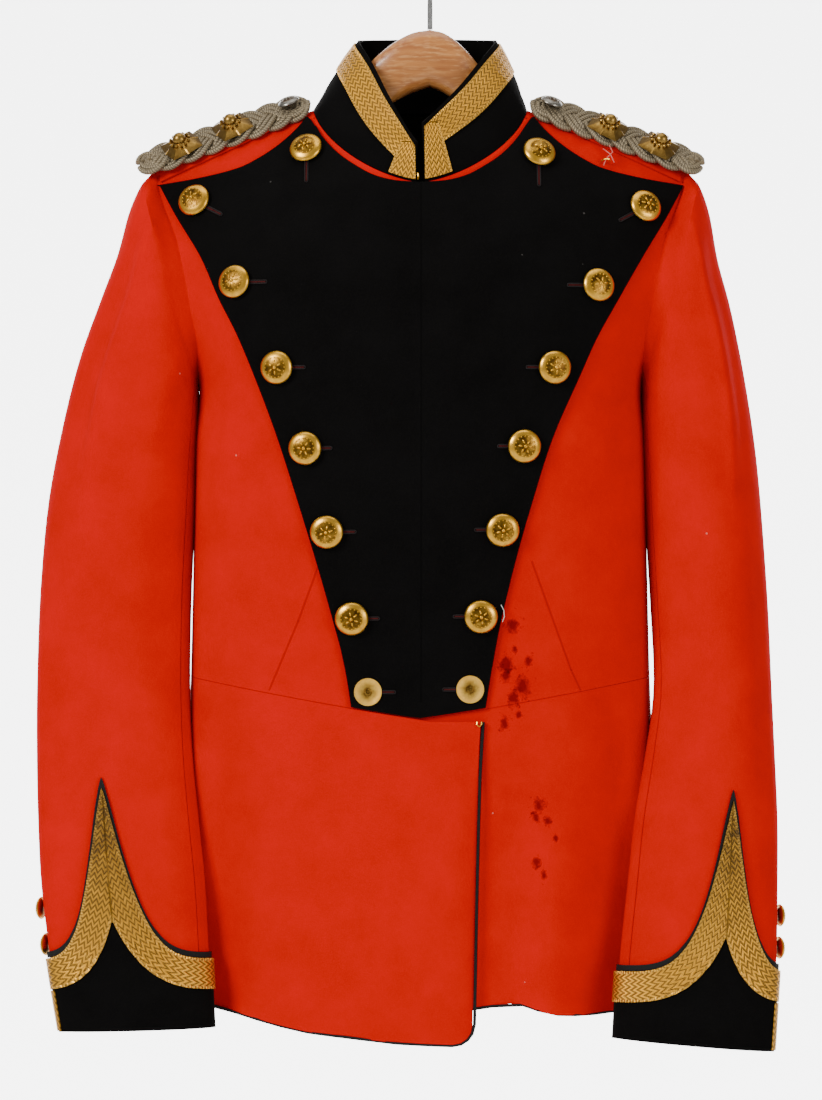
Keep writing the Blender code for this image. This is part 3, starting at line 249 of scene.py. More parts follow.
# Columns of the bodice by their place along the neck and the shoulder seam, shared by the collar
NECK_STATIONS = (0, 18, 36, 53, 67, 77, 82)
SHOULDER_STATIONS = (98, 120, 145, 170, 188, 198, 202)
BODICE_ROWS = 11
ROW_CROWD = 1.4
PLASTRON_FIRST_ROW = 1
PLASTRON_ROW_DROP = 4 * MM

# Buttons: x, z of each on the plastron
BUTTONS_RIGHT = [
    (86, -181), (171, -219.5), (139, -282.5), (107, -347), (86, -408), (70, -471), (51.5, -536.5),
]
BUTTONS_LEFT = [
    (89.5, -184), (170, -224), (133, -285), (100, -347), (77.5, -406.5), (61.5, -469.5), (45.5, -535),
]
FLAT_BUTTONS = {"right": (39.5, -592.5), "left": (37.5, -590.5)}
BUTTON_RADIUS = 12.7 * MM
BUTTON_HEIGHT = 7.6 * MM
BUTTON_CLEAR = 0.5 * MM
FLAT_BUTTON_RADIUS = 10.5 * MM
FLAT_BUTTON_THICK = 1.6 * MM
FLAT_BUTTON_CLEAR = 1.5 * MM
SMALL_BUTTON_HEIGHT = 5.5 * MM
CUFF_BUTTON_RADIUS = 8.5 * MM
CUFF_BUTTONS_Z = {"right": (-757, -784), "left": (-762, -786)}
CUFF_BUTTON_ANGLE = -9.0
BUTTON_SEGMENTS = 12

# Shoulder straps and cords: along each shoulder seam, from the neck end to the sleeve end
CORD_NECK_X = 84 * MM
CORD_TIP_X = 214 * MM
CORD_HALF = 17 * MM
CORD_SCALLOP = 3 * MM
CORD_THICK = 8 * MM
CORD_LIFT = 3.2 * MM
CORD_TILT = 38.0
CORD_MIDDLE_Y = -4 * MM
CORD_PLAITS = 5
STRAP_NECK_X = 92 * MM
STRAP_TIP_X = 199 * MM
STRAP_NECK_DROP = 4 * MM
STRAP_TIP_DROP = 13 * MM
STRAP_BACK_DROP = 6 * MM
BADGE_SIZE = 12.5 * MM
BADGE_HEIGHT = 6.5 * MM
BADGE_GAP = 0.1 * MM
BADGE_PLACES = (0.44, 0.74)
BADGE_RINGS = ((0, 1, 0.62), (0.35, 0.97, 0.6), (0.6, 0.55, 0.5), (1, 0.26, 0.26))
SHOULDER_BUTTON_RADIUS = 8.5 * MM
SHOULDER_BUTTON_X = 97 * MM
SHOULDER_BUTTON_GAP = 0.6 * MM

# Piping, the hook at the lap's top corner and the loop on the left shoulder
PIPING = 1.25 * MM
WAIST_HOOK_INSET = 1.5 * MM
WAIST_HOOK_LIFT = 1.3 * MM
WAIST_HOOK_ROUTE = ((-1.6, 0, 1.5), (-1.8, -0.5, -0.5), (0, -0.8, -2.2), (1.6, -0.5, -0.5), (1.6, 0, 1.5))
LOOP_X = 141 * MM
LOOP_Z = -189 * MM
LOOP_LIFT = 1.4 * MM
LOOP_HALF = 3.5 * MM
LOOP_HEIGHT = 5 * MM

# Hanger: distance along x, top, bottom, half thickness, middle y
HANGER = [
    (0, -84.7, -128.5, 11, 1),
    (12, -87, -133, 10.6, 1),
    (24, -94, -140, 10, 0),
    (36, -104.5, -148, 9, 0),
    (47, -117, -156, 8, 0),
    (60, -134, -167, 7.2, -1),
    (74, -151.5, -177, 6.4, -1.5),
    (90, -152.0, -182, 5.6, -1),
    (125, -165.1, -193, 4.8, -0.8),
    (160, -178.8, -202, 4.2, -0.5),
    (184, -188.6, -205, 3.4, -0.3),
]
HOOK_RADIUS = 26 * MM
HOOK_WIRE = 2 * MM
HOOK_START_ANGLE = -84
HOOK_END_ANGLE = 205

# Lace band, plait of the shoulder cords, worked holes and loose threads
LACE_BAND = 23 * MM
PLAIT_TURNS = 5
PLAIT_REACH = 12.0 * MM
PLAIT_RISE = 2.0 * MM
PLAIT_HIGH = 4.2 * MM
CORD_WIRE = 2.15 * MM
COLLAR_TUCK = 0.04
CREASE_GAIN = 1.5
STAR_REACH = 1.45 * BADGE_SIZE
STAR_HEIGHT = 1.3 * BADGE_HEIGHT
HOLE_LIFT = PLASTRON_GAP + FACING_CLOTH + 0.35 * MM
LOOSE_PINK = [
    [(143, -176, 4.5), (146, -183, 5.5), (141, -188, 5.0), (139, -193, 4.5)],
    [(139, -180, 4.5), (144, -185, 6.0), (147, -191, 5.0)],
]
LOOSE_WHITE = [(60.5, -526, 3.8), (62.5, -530, 5.0), (63.0, -535, 4.5), (61.5, -539, 3.8)]

HEM_REACH = 1.3 * MM

FLOOR_Z = -1.7
WALL_Y = 7.0
WORLD_STRENGTH = 0.34
PAPER_GLOW = 5.0
LIGHTS = [
    ("key_left", (-2.6, -2.6, 1.3), (1.4, 1.4), 118),
    ("fill_right", (2.8, -2.8, 0.1), (1.8, 1.8), 52),
    ("top", (0.0, -0.6, 2.4), (2.6, 1.6), 24),
    ("back_wash", (0.0, 0.5, 1.6), (3.0, 0.6), 8),
]

# Soft troughs and ridges of the front and back, each along a line from a top to a foot:
# side, x and z of its top, x and z of its foot, half width, depth (a ridge is negative)
BODY_CREASES = [
    ("right", 172, -290, 163, -520, 7, 2.6), ("right", 150, -300, 148, -470, 9, -1.2),
    ("left", 168, -300, 164, -560, 7, 2.2), ("left", 148, -330, 150, -520, 9, -1.0),
    ("right", 60, -560, 96, -600, 14, 0.8), ("left", 64, -560, 100, -598, 14, 0.9),
    ("right", 150, -600, 158, -850, 9, 1.4), ("left", 150, -590, 160, -820, 9, 1.6),
    ("left", 40, -640, 44, -850, 10, 1.6), ("left", 92, -700, 98, -830, 12, -1.0),
    ("right", 30, -640, 36, -850, 30, 0.8), ("right", 84, -660, 92, -840, 22, -0.8),
    ("right", 30, -235, 52, -330, 20, 0.7), ("left", 26, -240, 60, -340, 22, 0.6),
    ("right", 8, -250, 4, -420, 10, 0.5), ("left", 30, -430, 20, -560, 16, 0.5),
    ("back", 30, -260, 40, -480, 18, 1.4), ("back", -34, -250, -44, -500, 18, 1.4),
    ("back", 140, -240, 120, -420, 12, 2.0), ("back", -140, -240, -118, -420, 12, 2.0),
    ("back", 90, -640, 100, -830, 14, -1.6), ("back", -94, -640, -102, -830, 14, -1.6),
    ("back", 150, -600, 156, -820, 10, 2.2), ("back", -150, -600, -158, -820, 10, 2.2),
]

# The same for the sleeves: side, angle and z of the top, angle and z of the foot, half width in degrees, depth
SLEEVE_CREASES = [
    ("right", 40, -225, 50, -430, 6, 1.8), ("right", 54, -225, 62, -430, 7, -1.6),
    ("right", 150, -262, 138, -330, 9, 2.2), ("right", 128, -300, 112, -400, 10, -1.4),
    ("right", 90, -400, 96, -640, 16, 0.9), ("right", 30, -470, 40, -700, 10, 1.0),
    ("right", 60, -680, 52, -760, 12, 0.8), ("right", 120, -650, 112, -760, 10, 1.0),
    ("left", 30, -230, 44, -430, 8, 1.6), ("left", 50, -232, 60, -440, 6, -2.0),
    ("left", 150, -250, 132, -330, 8, 2.6), ("left", 118, -262, 104, -330, 8, -1.2),
    ("left", 92, -420, 100, -620, 16, 0.9), ("left", 34, -470, 40, -690, 10, 1.0),
    ("left", 124, -640, 112, -760, 10, 1.2), ("left", 64, -690, 56, -770, 12, 0.8),
    ("right", 200, -300, 210, -520, 10, 2.2), ("right", 250, -330, 244, -600, 12, 1.8),
    ("right", 300, -260, 310, -500, 9, 1.6), ("right", 270, -560, 260, -700, 10, -1.2),
    ("left", 204, -310, 212, -540, 10, 2.0), ("left", 248, -320, 240, -590, 12, 2.0),
    ("left", 302, -270, 308, -500, 9, 1.6), ("left", 272, -550, 262, -700, 10, -1.2),
]

# Seams of the front that show as stitched lines: ends by x from the hook and z
SEAM_LINES = {
    "bodice_front_right": [((-122, -591), (-100, -539)), ((-100, -539), (-83, -493))],
    "bodice_front_left": [((114, -591), (107, -576)), ((107, -576), (77, -494))],
}

# Dark stains on the wearer's left front: x, z, radius
STAINS = [
    (62, -542, 4.5), (57, -572, 5.5), (57, -580, 4), (70, -588, 6), (63, -597, 4.5), (74, -569, 3),
    (56, -616, 3.5), (82, -679, 4), (80, -687, 3), (89, -690, 2.6), (95, -703, 2.4), (80, -721, 3.4),
    (86, -731, 2.4), (64, -560, 2), (67, -610, 2.2),
]

# Worked buttonholes by each button: turn of the hole in degrees, length past the button
BUTTONHOLES = {
    "right": [(-90, 17), (-28, 15), (0, 15), (0, 12), (0, 11), (0, 13), (0, 12), (0, 12)],
    "left": [(-90, 17), (-30, 14), (0, 14), (0, 12), (0, 11), (0, 12), (0, 12), (0, 12)],
}
HOLE_WIDTH = 2.2 * MM

PHOTO_WIDE = 822
PHOTO_HIGH = 1100
CAMERA_AIM = (-14.6 * MM, -485 * MM)
CAMERA_AWAY = 4.5
VIEW_ANGLE = 10.75


def along_line(x, z, x0, z0, x1, z1, half_width):
    """Strength of a crease at a place: full in its middle, fading to its sides and ends."""
    t = (z0 - z) / (z0 - z1)
    if t <= -0.15 or t >= 1.15:
        return 0.0
    middle = x0 + (x1 - x0) * t
    ends = smooth_step((t + 0.15) / 0.35) * smooth_step((1.15 - t) / 0.35)
    return ends * math.exp(-((x - middle) / half_width) ** 2)


def body_crease(face, side, x, z):
    depth = 0.0
    across = x / MM
    if face == "back":
        across = across if side == "left" else -across
    for where, x0, z0, x1, z1, half, size in BODY_CREASES:
        if (where == "back") == (face == "back") and (where == "back" or where == side):
            depth += CREASE_GAIN * size * MM * along_line(across, z / MM, x0, z0, x1, z1, half)
    return depth


def fine_crease(side, angle, z):
    depth = 0.0
    for where, a0, z0, a1, z1, half, size in SLEEVE_CREASES:
        if where == side:
            near = (angle - a0 + 180) % 360 - 180
            depth += size * MM * along_line(near, z / MM, 0, z0, a1 - a0, z1, half)
    return depth


def smooth_table(rows, column, at):
    """Reads one column of a table at a value of its first column, on a smooth curve."""
    keys = [row[0] for row in rows]
    values = [row[column] for row in rows]
    if keys[0] > keys[-1]:
        keys.reverse()
        values.reverse()
    if at <= keys[0]:
        return values[0]
    if at >= keys[-1]:
        return values[-1]
    last = len(keys) - 1
    spot = next(i for i in range(last) if keys[i + 1] >= at)

    def slope(i):
        low, high = max(i - 1, 0), min(i + 1, last)
        return (values[high] - values[low]) / (keys[high] - keys[low])

    span = keys[spot + 1] - keys[spot]
    t = (at - keys[spot]) / span
    rise = values[spot + 1] - values[spot]
    a = slope(spot) * span
    b = slope(spot + 1) * span
    return values[spot] + a * t + (3 * rise - 2 * a - b) * t * t + (a + b - 2 * rise) * t ** 3


def table_mm(rows, column, at):
    """The same for a table in millimetres, given and returned in metres."""
    return smooth_table(rows, column, at / MM) * MM


def smooth_step(t):
    t = min(max(t, 0.0), 1.0)
    return t * t * (3 - 2 * t)


def ridge_z(x):
    """Height of the shoulder line at a distance from the centre line, arched over the neck."""
    x = abs(x)
    if x < NECK_HALF:
        return NECK_SIDE_Z + 0.5 * RIDGE_SLOPE * (NECK_HALF - x * x / NECK_HALF)
    return NECK_SIDE_Z - (x - NECK_HALF) * RIDGE_SLOPE


def shoulder_rounding(below):
    """How much of its full depth the body has, at a distance below the shoulder line."""
    below = max(below, 0.0)
    t = min(below / RIDGE_ROUND, 1.0)
    nose = math.sqrt(max(1 - (1 - t) ** 2, 0.0))
    lean = math.sin(0.5 * math.pi * min(below / CHEST_DROP, 1.0))
    return RIDGE_SHARE * nose + (1 - RIDGE_SHARE) * lean


def fold_depth(face, side, x, z):
    """Depth of the body's folds at a point; side is "right" or "left"."""
    depth = 0.0
    for where, place, top, bottom, width, size in BODY_FOLDS:
        if face == "back":
            if where != "back":
                continue
            across = x if side == "left" else -x
        else:
            if where != side:
                continue
            across = x
        along = (top * MM - z) / ((top - bottom) * MM)
        if along <= 0:
            continue
        fade = smooth_step(along * 3)
        if bottom > -800:
            fade *= smooth_step((1 - along) * 3)
        depth += size * MM * fade * math.exp(-((across - place * MM) / (width * MM)) ** 2)
    return depth


def body_depth(face, side, x, z):
    """Distance of the cloth's outside from the garment's middle plane."""
    column = 2 if face == "front" else 3
    half = table_mm(BODY, 1, z)
    full = table_mm(BODY, column, z)
    share = max(1 - (abs(x) / half) ** SQUARENESS, 0.0) ** (1 / SQUARENESS)
    below = ridge_z(x) - z
    rounded = shoulder_rounding(below)
    folds = fold_depth(face, side, abs(x), z) + body_crease(face, side, abs(x), z)
    return max(full * share * rounded - folds * share ** 0.5, 0.0)


def body_point(face, side, x, z):
    """A point of the body's outside, by its distance from the centre line and its height."""
    y = body_depth(face, side, x, z)
    sign = -1 if side == "right" else 1
    return np.array([sign * x + HANG_OFFSET, -y if face == "front" else y, z])


def reach(face, z):
    """The angle round the body to the side seam or the armhole."""
    if z <= PIT_Z:
        return 90.0
    return smooth_table(ARMHOLE, 1 if face == "front" else 2, z / MM)


def edge_x(face, share, z):
    """Distance from the centre line at a share of the angle to the panel's outer edge."""
    angle = math.radians(share * reach(face, z))
    return table_mm(BODY, 1, z) * math.sin(angle) ** (2 / SQUARENESS)


def neck_z(face, x):
    t = min(abs(x) / NECK_HALF, 1.0)
    if face == "front":
        return NECK_SIDE_Z - NECK_FRONT_DROP * (1 - t ** 1.55) ** (1 / 1.55)
    return ridge_z(x) - NECK_BACK_DROP * (1 - t ** 3)


def panel_top(face, share):
    """Height at which a column of a panel meets the neck or the shoulder seam."""
    z = TIP_Z
    for _ in range(8):
        x = edge_x(face, share, z)
        z = neck_z(face, x) if x < NECK_HALF else ridge_z(x)
    return z


def waist_z(face, x):
    half = table_mm(BODY, 1, WAIST_SIDE_Z)
    t = min(abs(x) / half, 1.0)
    centre = WAIST_FRONT_Z if face == "front" else WAIST_BACK_Z
    return centre + (WAIST_SIDE_Z - centre) * t ** 1.1


def hem_z(face, side, x):
    if face == "back":
        return HEM_BACK_Z + (HEM_SIDE_Z - HEM_BACK_Z) * min(abs(x) / (180 * MM), 1.0) ** 2
    return table_mm(HEM_RIGHT if side == "right" else HEM_LEFT, 1, x)


def grid_normals(points):
    """Unit normals of a grid of points, rows down and columns across."""
    down = np.gradient(points, axis=0)
    across = np.gradient(points, axis=1)
    normal = np.cross(down, across)
    length = np.linalg.norm(normal, axis=2, keepdims=True)
    return normal / np.maximum(length, 1e-12)


def outward_normals(points, outward):
    """The same, turned to the side that the outward directions look on the whole."""
    normal = grid_normals(points)
    if np.mean(np.sum(normal * outward, axis=2)) < 0:
        normal = -normal
    return normal


def away_from_body(points):
    """Directions away from the garment's middle plane and axis."""
    return points - np.array([HANG_OFFSET, 0, 0]) - points * np.array([0, 0, 1])


def quads(rows, columns, flip, start=0):
    faces = []
    for i in range(rows - 1):
        for j in range(columns - 1):
            a = start + i * columns + j
            face = (a, a + columns, a + columns + 1, a + 1)
            faces.append(face[::-1] if flip else face)
    return faces


def station_share(x):
    """Share of the angle round a panel of the column that starts at a place on its top edge."""
    half = table_mm(BODY, 1, TIP_Z)
    return math.degrees(math.asin((x / half) ** (SQUARENESS / 2))) / ARMHOLE[0][1]


def skirt_point(face, side, x, z):
    """A point of the skirt; a negative distance lies past the centre line, on the other side."""
    if x < 0:
        side = "left" if side == "right" else "right"
    return body_point(face, side, abs(x), z)


def around_x(angle, z):
    return table_mm(BODY, 1, z) * math.sin(math.radians(angle)) ** (2 / SQUARENESS)


def lap_rise(x):
    """How far the lap's cloth stands off the skirt below it, fading towards the side."""
    return LAP_RISE * smooth_step((LAP_FADE_X - x) / LAP_FADE)


def lap_edge_x(z):
    """The lap's front edge, past the centre line, at a height."""
    t = (LAP_TOP_Z - z) / (LAP_TOP_Z - HEM_RIGHT[0][1] * MM)
    return LAP_TOP_X + (LAP_HEM_X - LAP_TOP_X) * min(max(t, 0.0), 1.0) ** 0.6


def lap_column(inset):
    """A column of the lap at a distance in from its front edge, round its lower corner."""
    def spot(t):
        edge = lap_edge_x(HEM_RIGHT[0][1] * MM) - inset
        corner = max(LAP_CORNER - inset, 0.0)
        bottom = hem_z("front", "right", -edge) + LAP_CORNER - math.sqrt(LAP_CORNER ** 2 - corner ** 2)
        bottom -= HEM_REACH
        z = LAP_TOP_Z + (bottom - LAP_TOP_Z) * t
        x = -(lap_edge_x(z) - inset)
        return skirt_point("front", "right", x, z) - np.array([0, LAP_RISE, 0])
    return spot


def under_column(x):
    """A column of the left skirt below the lap."""
    def spot(t):
        top = waist_z("front", x) - 0.5 * SEAM_GAP
        z = top + (hem_z("front", "left", x) - HEM_REACH - top) * t
        return skirt_point("front", "left", x, z)
    return spot


def skirt_grid(face, side, front_columns, angles, rows):
    """A skirt panel: columns at set distances in front, then by angle to the side seam."""
    grid = []
    for t in rows:
        line = []
        for column in front_columns:
            line.append(column(t))
        for angle in angles:
            inside = min(angle, 90.0)
            top = waist_z(face, around_x(inside, WAIST_SIDE_Z)) - 0.5 * SEAM_GAP
            bottom = hem_z(face, side, around_x(inside, HEM_SIDE_Z)) - HEM_REACH
            if side == "left" and face == "front":
                bottom -= 0.5 * HEM_REACH
            z = top + (bottom - top) * t
            if angle > 90:
                other = "back" if face == "front" else "front"
                line.append(skirt_point(other, side, around_x(180 - angle, z), z))
                continue
            x = around_x(angle, z)
            spot = skirt_point(face, side, x, z)
            if side == "right" and face == "front":
                spot = spot - np.array([0, lap_rise(x), 0])
            line.append(spot)
        grid.append(line)
    points = np.array(grid)
    normals = outward_normals(points, away_from_body(points))
    points = points[:, :-1]
    points[:, -1, 1] += -0.5 * SEAM_GAP if face == "front" else 0.5 * SEAM_GAP
    return points, normals[:, :-1]


def plastron_edge(side, z):
    """The plastron's reach from the centre line at a height."""
    return table_mm(PLASTRON_EDGE, 1 if side == "right" else 2, z)


def surface_place(side, x, z, lift):
    """A point above the front at a distance from the centre and a height, and its direction."""
    step = 2 * MM
    here = body_point("front", side, x, z)
    across = body_point("front", side, x + step, z) - here
    down = body_point("front", side, x, z - step) - here
    normal = np.cross(across, down)
    if normal[1] > 0:
        normal = -normal
    normal /= np.linalg.norm(normal)
    return here + normal * lift, normal


def sleeve_row(side, v):
    """The sizes of a sleeve's ring at a place along its table of rings."""
    table = SLEEVE_RIGHT if side == "right" else SLEEVE_LEFT
    rows = [(i, *row) for i, row in enumerate(table)]
    return [smooth_table(rows, column, v) * MM for column in range(1, 7)]


def armhole_spot(side, angle):
    """A point of the bodice's armhole edge by its angle: 0 at the shoulder, 180 at the armpit."""
    wrapped = (angle + 360) % 360
    face = "front" if wrapped <= 180 else "back"
    z = TIP_Z + (PIT_Z - TIP_Z) * 0.5 * (1 - math.cos(math.radians(wrapped)))
    return body_point(face, side, edge_x(face, 1, z), z)


def sleeve_spot(side, angle, v):
    """A point of the sleeve's outside, by its angle and its place along the rings."""
    sign = -1 if side == "right" else 1
    if v < 1:
        seam = armhole_spot(side, angle)
        if v <= 0:
            return seam + np.array([sign * ARMHOLE_GAP, 0, 0])
    outer_x, outer_z, inner_x, inner_z, depth, middle_y = sleeve_row(side, max(v, 1))
    outer = np.array([sign * outer_x + HANG_OFFSET, middle_y, outer_z])
    inner = np.array([sign * inner_x + HANG_OFFSET, middle_y, inner_z])
    arm = 0.5 * (outer - inner)
    c, s = math.cos(math.radians(angle)), math.sin(math.radians(angle))
    spot = 0.5 * (outer + inner) + arm * c + np.array([0, -depth * s, 0])
    half = np.linalg.norm(arm)
    away = arm / half * c * depth + np.array([0, -1, 0]) * s * half
    away /= np.linalg.norm(away)
    spot = spot - away * (sleeve_crease(side, angle, spot[2]) + fine_crease(side, angle, spot[2]))
    if v < 1:
        return seam + (spot - seam) * v
    return spot


def sleeve_crease(side, angle, z):
    """Depth of the sleeve's creases at an angle and a height."""
    depth = 0.0
    for place, top, bottom, width, size in SLEEVE_FOLDS[side]:
        along = (top * MM - z) / ((top - bottom) * MM)
        if 0 < along < 1:
            apart = (angle - place + 180) % 360 - 180
            depth += size * MM * math.sin(math.pi * along) * math.exp(-(apart / width) ** 2)
    return depth


def sleeve_middle(side, v):
    """The middle of the sleeve at a place along its rings."""
    return 0.5 * (sleeve_spot(side, 0, v) + sleeve_spot(side, 180, v))


def cuff_top(side, angle):
    """Height of the cuff's upper line at an angle round the sleeve."""
    apart = abs(angle - CUFF_POINT_ANGLE[side])
    fall = CUFF_FALL * (1 - math.exp(-(apart / CUFF_SPREAD) ** 1.3))
    return CUFF_POINT_Z[side] - fall


def tracing_rise(side, angle):
    """Height of the tracing braid over the cuff's line, more where the line is steep."""
    apart = abs(angle - CUFF_POINT_ANGLE[side])
    steep = max(2.6 - abs(apart - 6) / 7, 0.0)
    return TRACING_CLEAR + TRACING_WIDTH * math.sqrt(1 + steep ** 2)


def lace_foot(side, angle):
    """Height of the lace's lower line at an angle round the sleeve."""
    apart = abs(angle - CUFF_POINT_ANGLE[side])
    return CUFF_POINT_Z[side] - LACE_POINT_FALL - LACE_FALL * (1 - math.exp(-(apart / LACE_SPREAD) ** 1.1))


def collar_stations():
    """Places along the collar's foot, front edge to centre back: face, x, share of the way."""
    places = []
    for x in (COLLAR_FRONT_X / MM,) + NECK_STATIONS[1:]:
        turn = math.asin((x * MM / NECK_HALF) ** 1.05) / (0.5 * math.pi)
        places.append(("front", x * MM, COLLAR_SIDE_SHARE * turn))
    for x in NECK_STATIONS[-2::-1]:
        turn = math.asin((x * MM / NECK_HALF) ** 1.25) / (0.5 * math.pi)
        places.append(("back", x * MM, 1 - (1 - COLLAR_SIDE_SHARE) * turn))
    first = places[0][2]
    return [(face, x, max(share - first, 0.0) / (1 - first)) for face, x, share in places]


def collar_base(side, place):
    """The collar's foot, standing on the neck edge of the bodice."""
    face, x, _ = place
    return body_point(face, side, x, neck_z(face, x)) + np.array([0, 0, 1.2 * SEAM_GAP])


def collar_top(side, share):
    """The collar's top edge at a share of the way round from its front edge."""
    sign = -1 if side == "right" else 1
    rows = COLLAR_TOP[side]
    x, y, z = (smooth_table(rows, column, share) * MM for column in (1, 2, 3))
    return np.array([sign * x + HANG_OFFSET + COLLAR_TOP_SHIFT * share, y, z])


def collar_spot(side, place, rise):
    """A point of the collar's outside: rise runs from its foot to its top edge."""
    foot, top = collar_base(side, place), collar_top(side, place[2])
    spot = foot + (top - foot) * rise
    away = (spot - np.array([HANG_OFFSET, COLLAR_AXIS_Y, 0])) * np.array([1, 1, 0])
    away /= np.linalg.norm(away)
    return spot + away * COLLAR_BULGE * 4 * rise * (1 - rise) * smooth_step(place[2] * 4)


def collar_height(side, place):
    """The collar's height from its foot to its top edge."""
    return np.linalg.norm(collar_top(side, place[2]) - collar_base(side, place))


def strap_frame(side, x):
    """The middle of the cord's underside at a place along the shoulder: the spot, along, up and across."""
    sign = -1 if side == "right" else 1
    slope = np.array([sign, 0, -RIDGE_SLOPE]) / math.hypot(1, RIDGE_SLOPE)
    level_up = np.array([sign * RIDGE_SLOPE, 0, 1]) / math.hypot(1, RIDGE_SLOPE)
    tilt = math.radians(CORD_TILT)
    up = level_up * math.cos(tilt) - np.array([0, math.sin(tilt), 0])
    across = level_up * math.sin(tilt) + np.array([0, math.cos(tilt), 0])
    spot = np.array([sign * x + HANG_OFFSET, CORD_MIDDLE_Y, ridge_z(x)]) + level_up * CORD_LIFT
    return spot, slope, up, across


def strap_points(side):
    """The strap's grid, laid over the shoulder seam from the back to the front."""
    grid = []
    for t in np.linspace(0, 1, 7):
        x = STRAP_NECK_X + (STRAP_TIP_X - STRAP_NECK_X) * t
        front = STRAP_NECK_DROP + (STRAP_TIP_DROP - STRAP_NECK_DROP) * t
        drops = [("back", STRAP_BACK_DROP), ("back", 0.3 * STRAP_BACK_DROP), ("front", 0.0),
                 ("front", 0.15 * front), ("front", 0.5 * front), ("front", front)]
        grid.append([body_point(face, side, x, ridge_z(x) - drop) for face, drop in drops])
    return np.array(grid)


class Net:
    """A small hand for laying out shader nodes."""

    def __init__(self, tree):
        self.tree = tree

    def node(self, kind, *values, **settings):
        made = self.tree.nodes.new("ShaderNode" + kind)
        for key, value in settings.items():
            setattr(made, key, value)
        for socket, value in zip(made.inputs, values):
            self.put(socket, value)
        return made

    def put(self, socket, value):
        if isinstance(value, bpy.types.NodeSocket):
            self.tree.links.new(value, socket)
        elif value is not None:
            socket.default_value = value

    def math(self, operation, *values):
        return self.node("Math", *values, operation=operation).outputs[0]

    def noise(self, vector, scale, detail=2.0, rough=0.5):
        made = self.node("TexNoise", vector)
        made.inputs["Scale"].default_value = scale
        made.inputs["Detail"].default_value = detail
        made.inputs["Roughness"].default_value = rough
        return made.outputs[0]

    def blend(self, share, low, high):
        """Colour between two colours."""
        made = self.node("Mix", data_type="RGBA")
        for socket, value in ((made.inputs[0], share), (made.inputs[6], low), (made.inputs[7], high)):
            self.put(socket, value)
        return made.outputs[2]

    def span(self, value, low, high, to_low=0.0, to_high=1.0):
        return self.node("MapRange", value, low, high, to_low, to_high).outputs[0]

    def parts(self, vector):
        return self.node("SeparateXYZ", vector).outputs

    def use(self, group, *values):
        made = self.node("Group")
        made.node_tree = group
        for socket, value in zip(made.inputs, values):
            self.put(socket, value)
        return made.outputs


def make_group(name, inputs, outputs):
    """A shader node group that gives only masks, values and heights."""
    group = bpy.data.node_groups.new(name, "ShaderNodeTree")
    for label, kind in inputs:
        group.interface.new_socket(label, in_out="INPUT", socket_type="NodeSocket" + kind)
    for label in outputs:
        group.interface.new_socket(label, in_out="OUTPUT", socket_type="NodeSocketFloat")
    net = Net(group)
    return group, net, net.node_raw("NodeGroupInput").outputs, net.node_raw("NodeGroupOutput").inputs


def raw_node(self, kind):
    return self.tree.nodes.new(kind)


Net.node_raw = raw_node


def group_nap():
    """Fulled wool: short fibres, a faint weave under them and a slow mottle."""
    group, net, given, out = make_group("wool_nap", [("Vector", "Vector")], ["Fibre", "Mottle", "Height", "Lint"])
    fine = net.noise(given[0], 2600, 3, 0.65)
    fibre = net.noise(given[0], 900, 3, 0.6)
    mottle = net.noise(given[0], 26, 4, 0.6)
    x, y, z = net.parts(given[0])
    warp = net.math("SINE", net.math("MULTIPLY", x, 2 * math.pi / 0.0011))
    weft = net.math("SINE", net.math("MULTIPLY", z, 2 * math.pi / 0.0011))
    weave = net.math("MULTIPLY", warp, weft)
    height = net.math("ADD", net.math("MULTIPLY", fine, 0.7), net.math("MULTIPLY", fibre, 0.6))
    height = net.math("ADD", height, net.math("MULTIPLY", weave, 0.06))
    lint_spot = net.node("TexVoronoi", given[0], feature="F1")
    lint_spot.inputs["Scale"].default_value = 42
    near = net.math("LESS_THAN", lint_spot.outputs["Distance"], 0.035)
    rare = net.math("GREATER_THAN", net.parts(lint_spot.outputs["Color"])[0], 0.82)
    net.put(out[0], net.math("ADD", net.math("MULTIPLY", fibre, 0.5), net.math("MULTIPLY", fine, 0.5)))
    net.put(out[1], mottle)
    net.put(out[2], height)
    net.put(out[3], net.math("MULTIPLY", near, rare))
    return group


def group_spot():
    """A ragged stain round a place on the front."""
    inputs = [("Vector", "Vector"), ("X", "Float"), ("Z", "Float"), ("Radius", "Float")]
    group, net, given, out = make_group("stain_spot", inputs, ["Mask"])
    x, y, z = net.parts(given[0])
    across = net.math("SUBTRACT", x, given[1])
    up = net.math("MULTIPLY", net.math("SUBTRACT", z, given[2]), 0.75)
    away = net.math("SQRT", net.math("ADD", net.math("MULTIPLY", across, across), net.math("MULTIPLY", up, up)))
    ragged = net.span(net.noise(given[0], 260, 4, 0.7), 0.3, 0.7, 0.35, 1.65)
    share = net.math("DIVIDE", net.math("MULTIPLY", away, ragged), given[3])
    net.put(out[0], net.span(share, 0.45, 1.15, 1.0, 0.0))
    return group


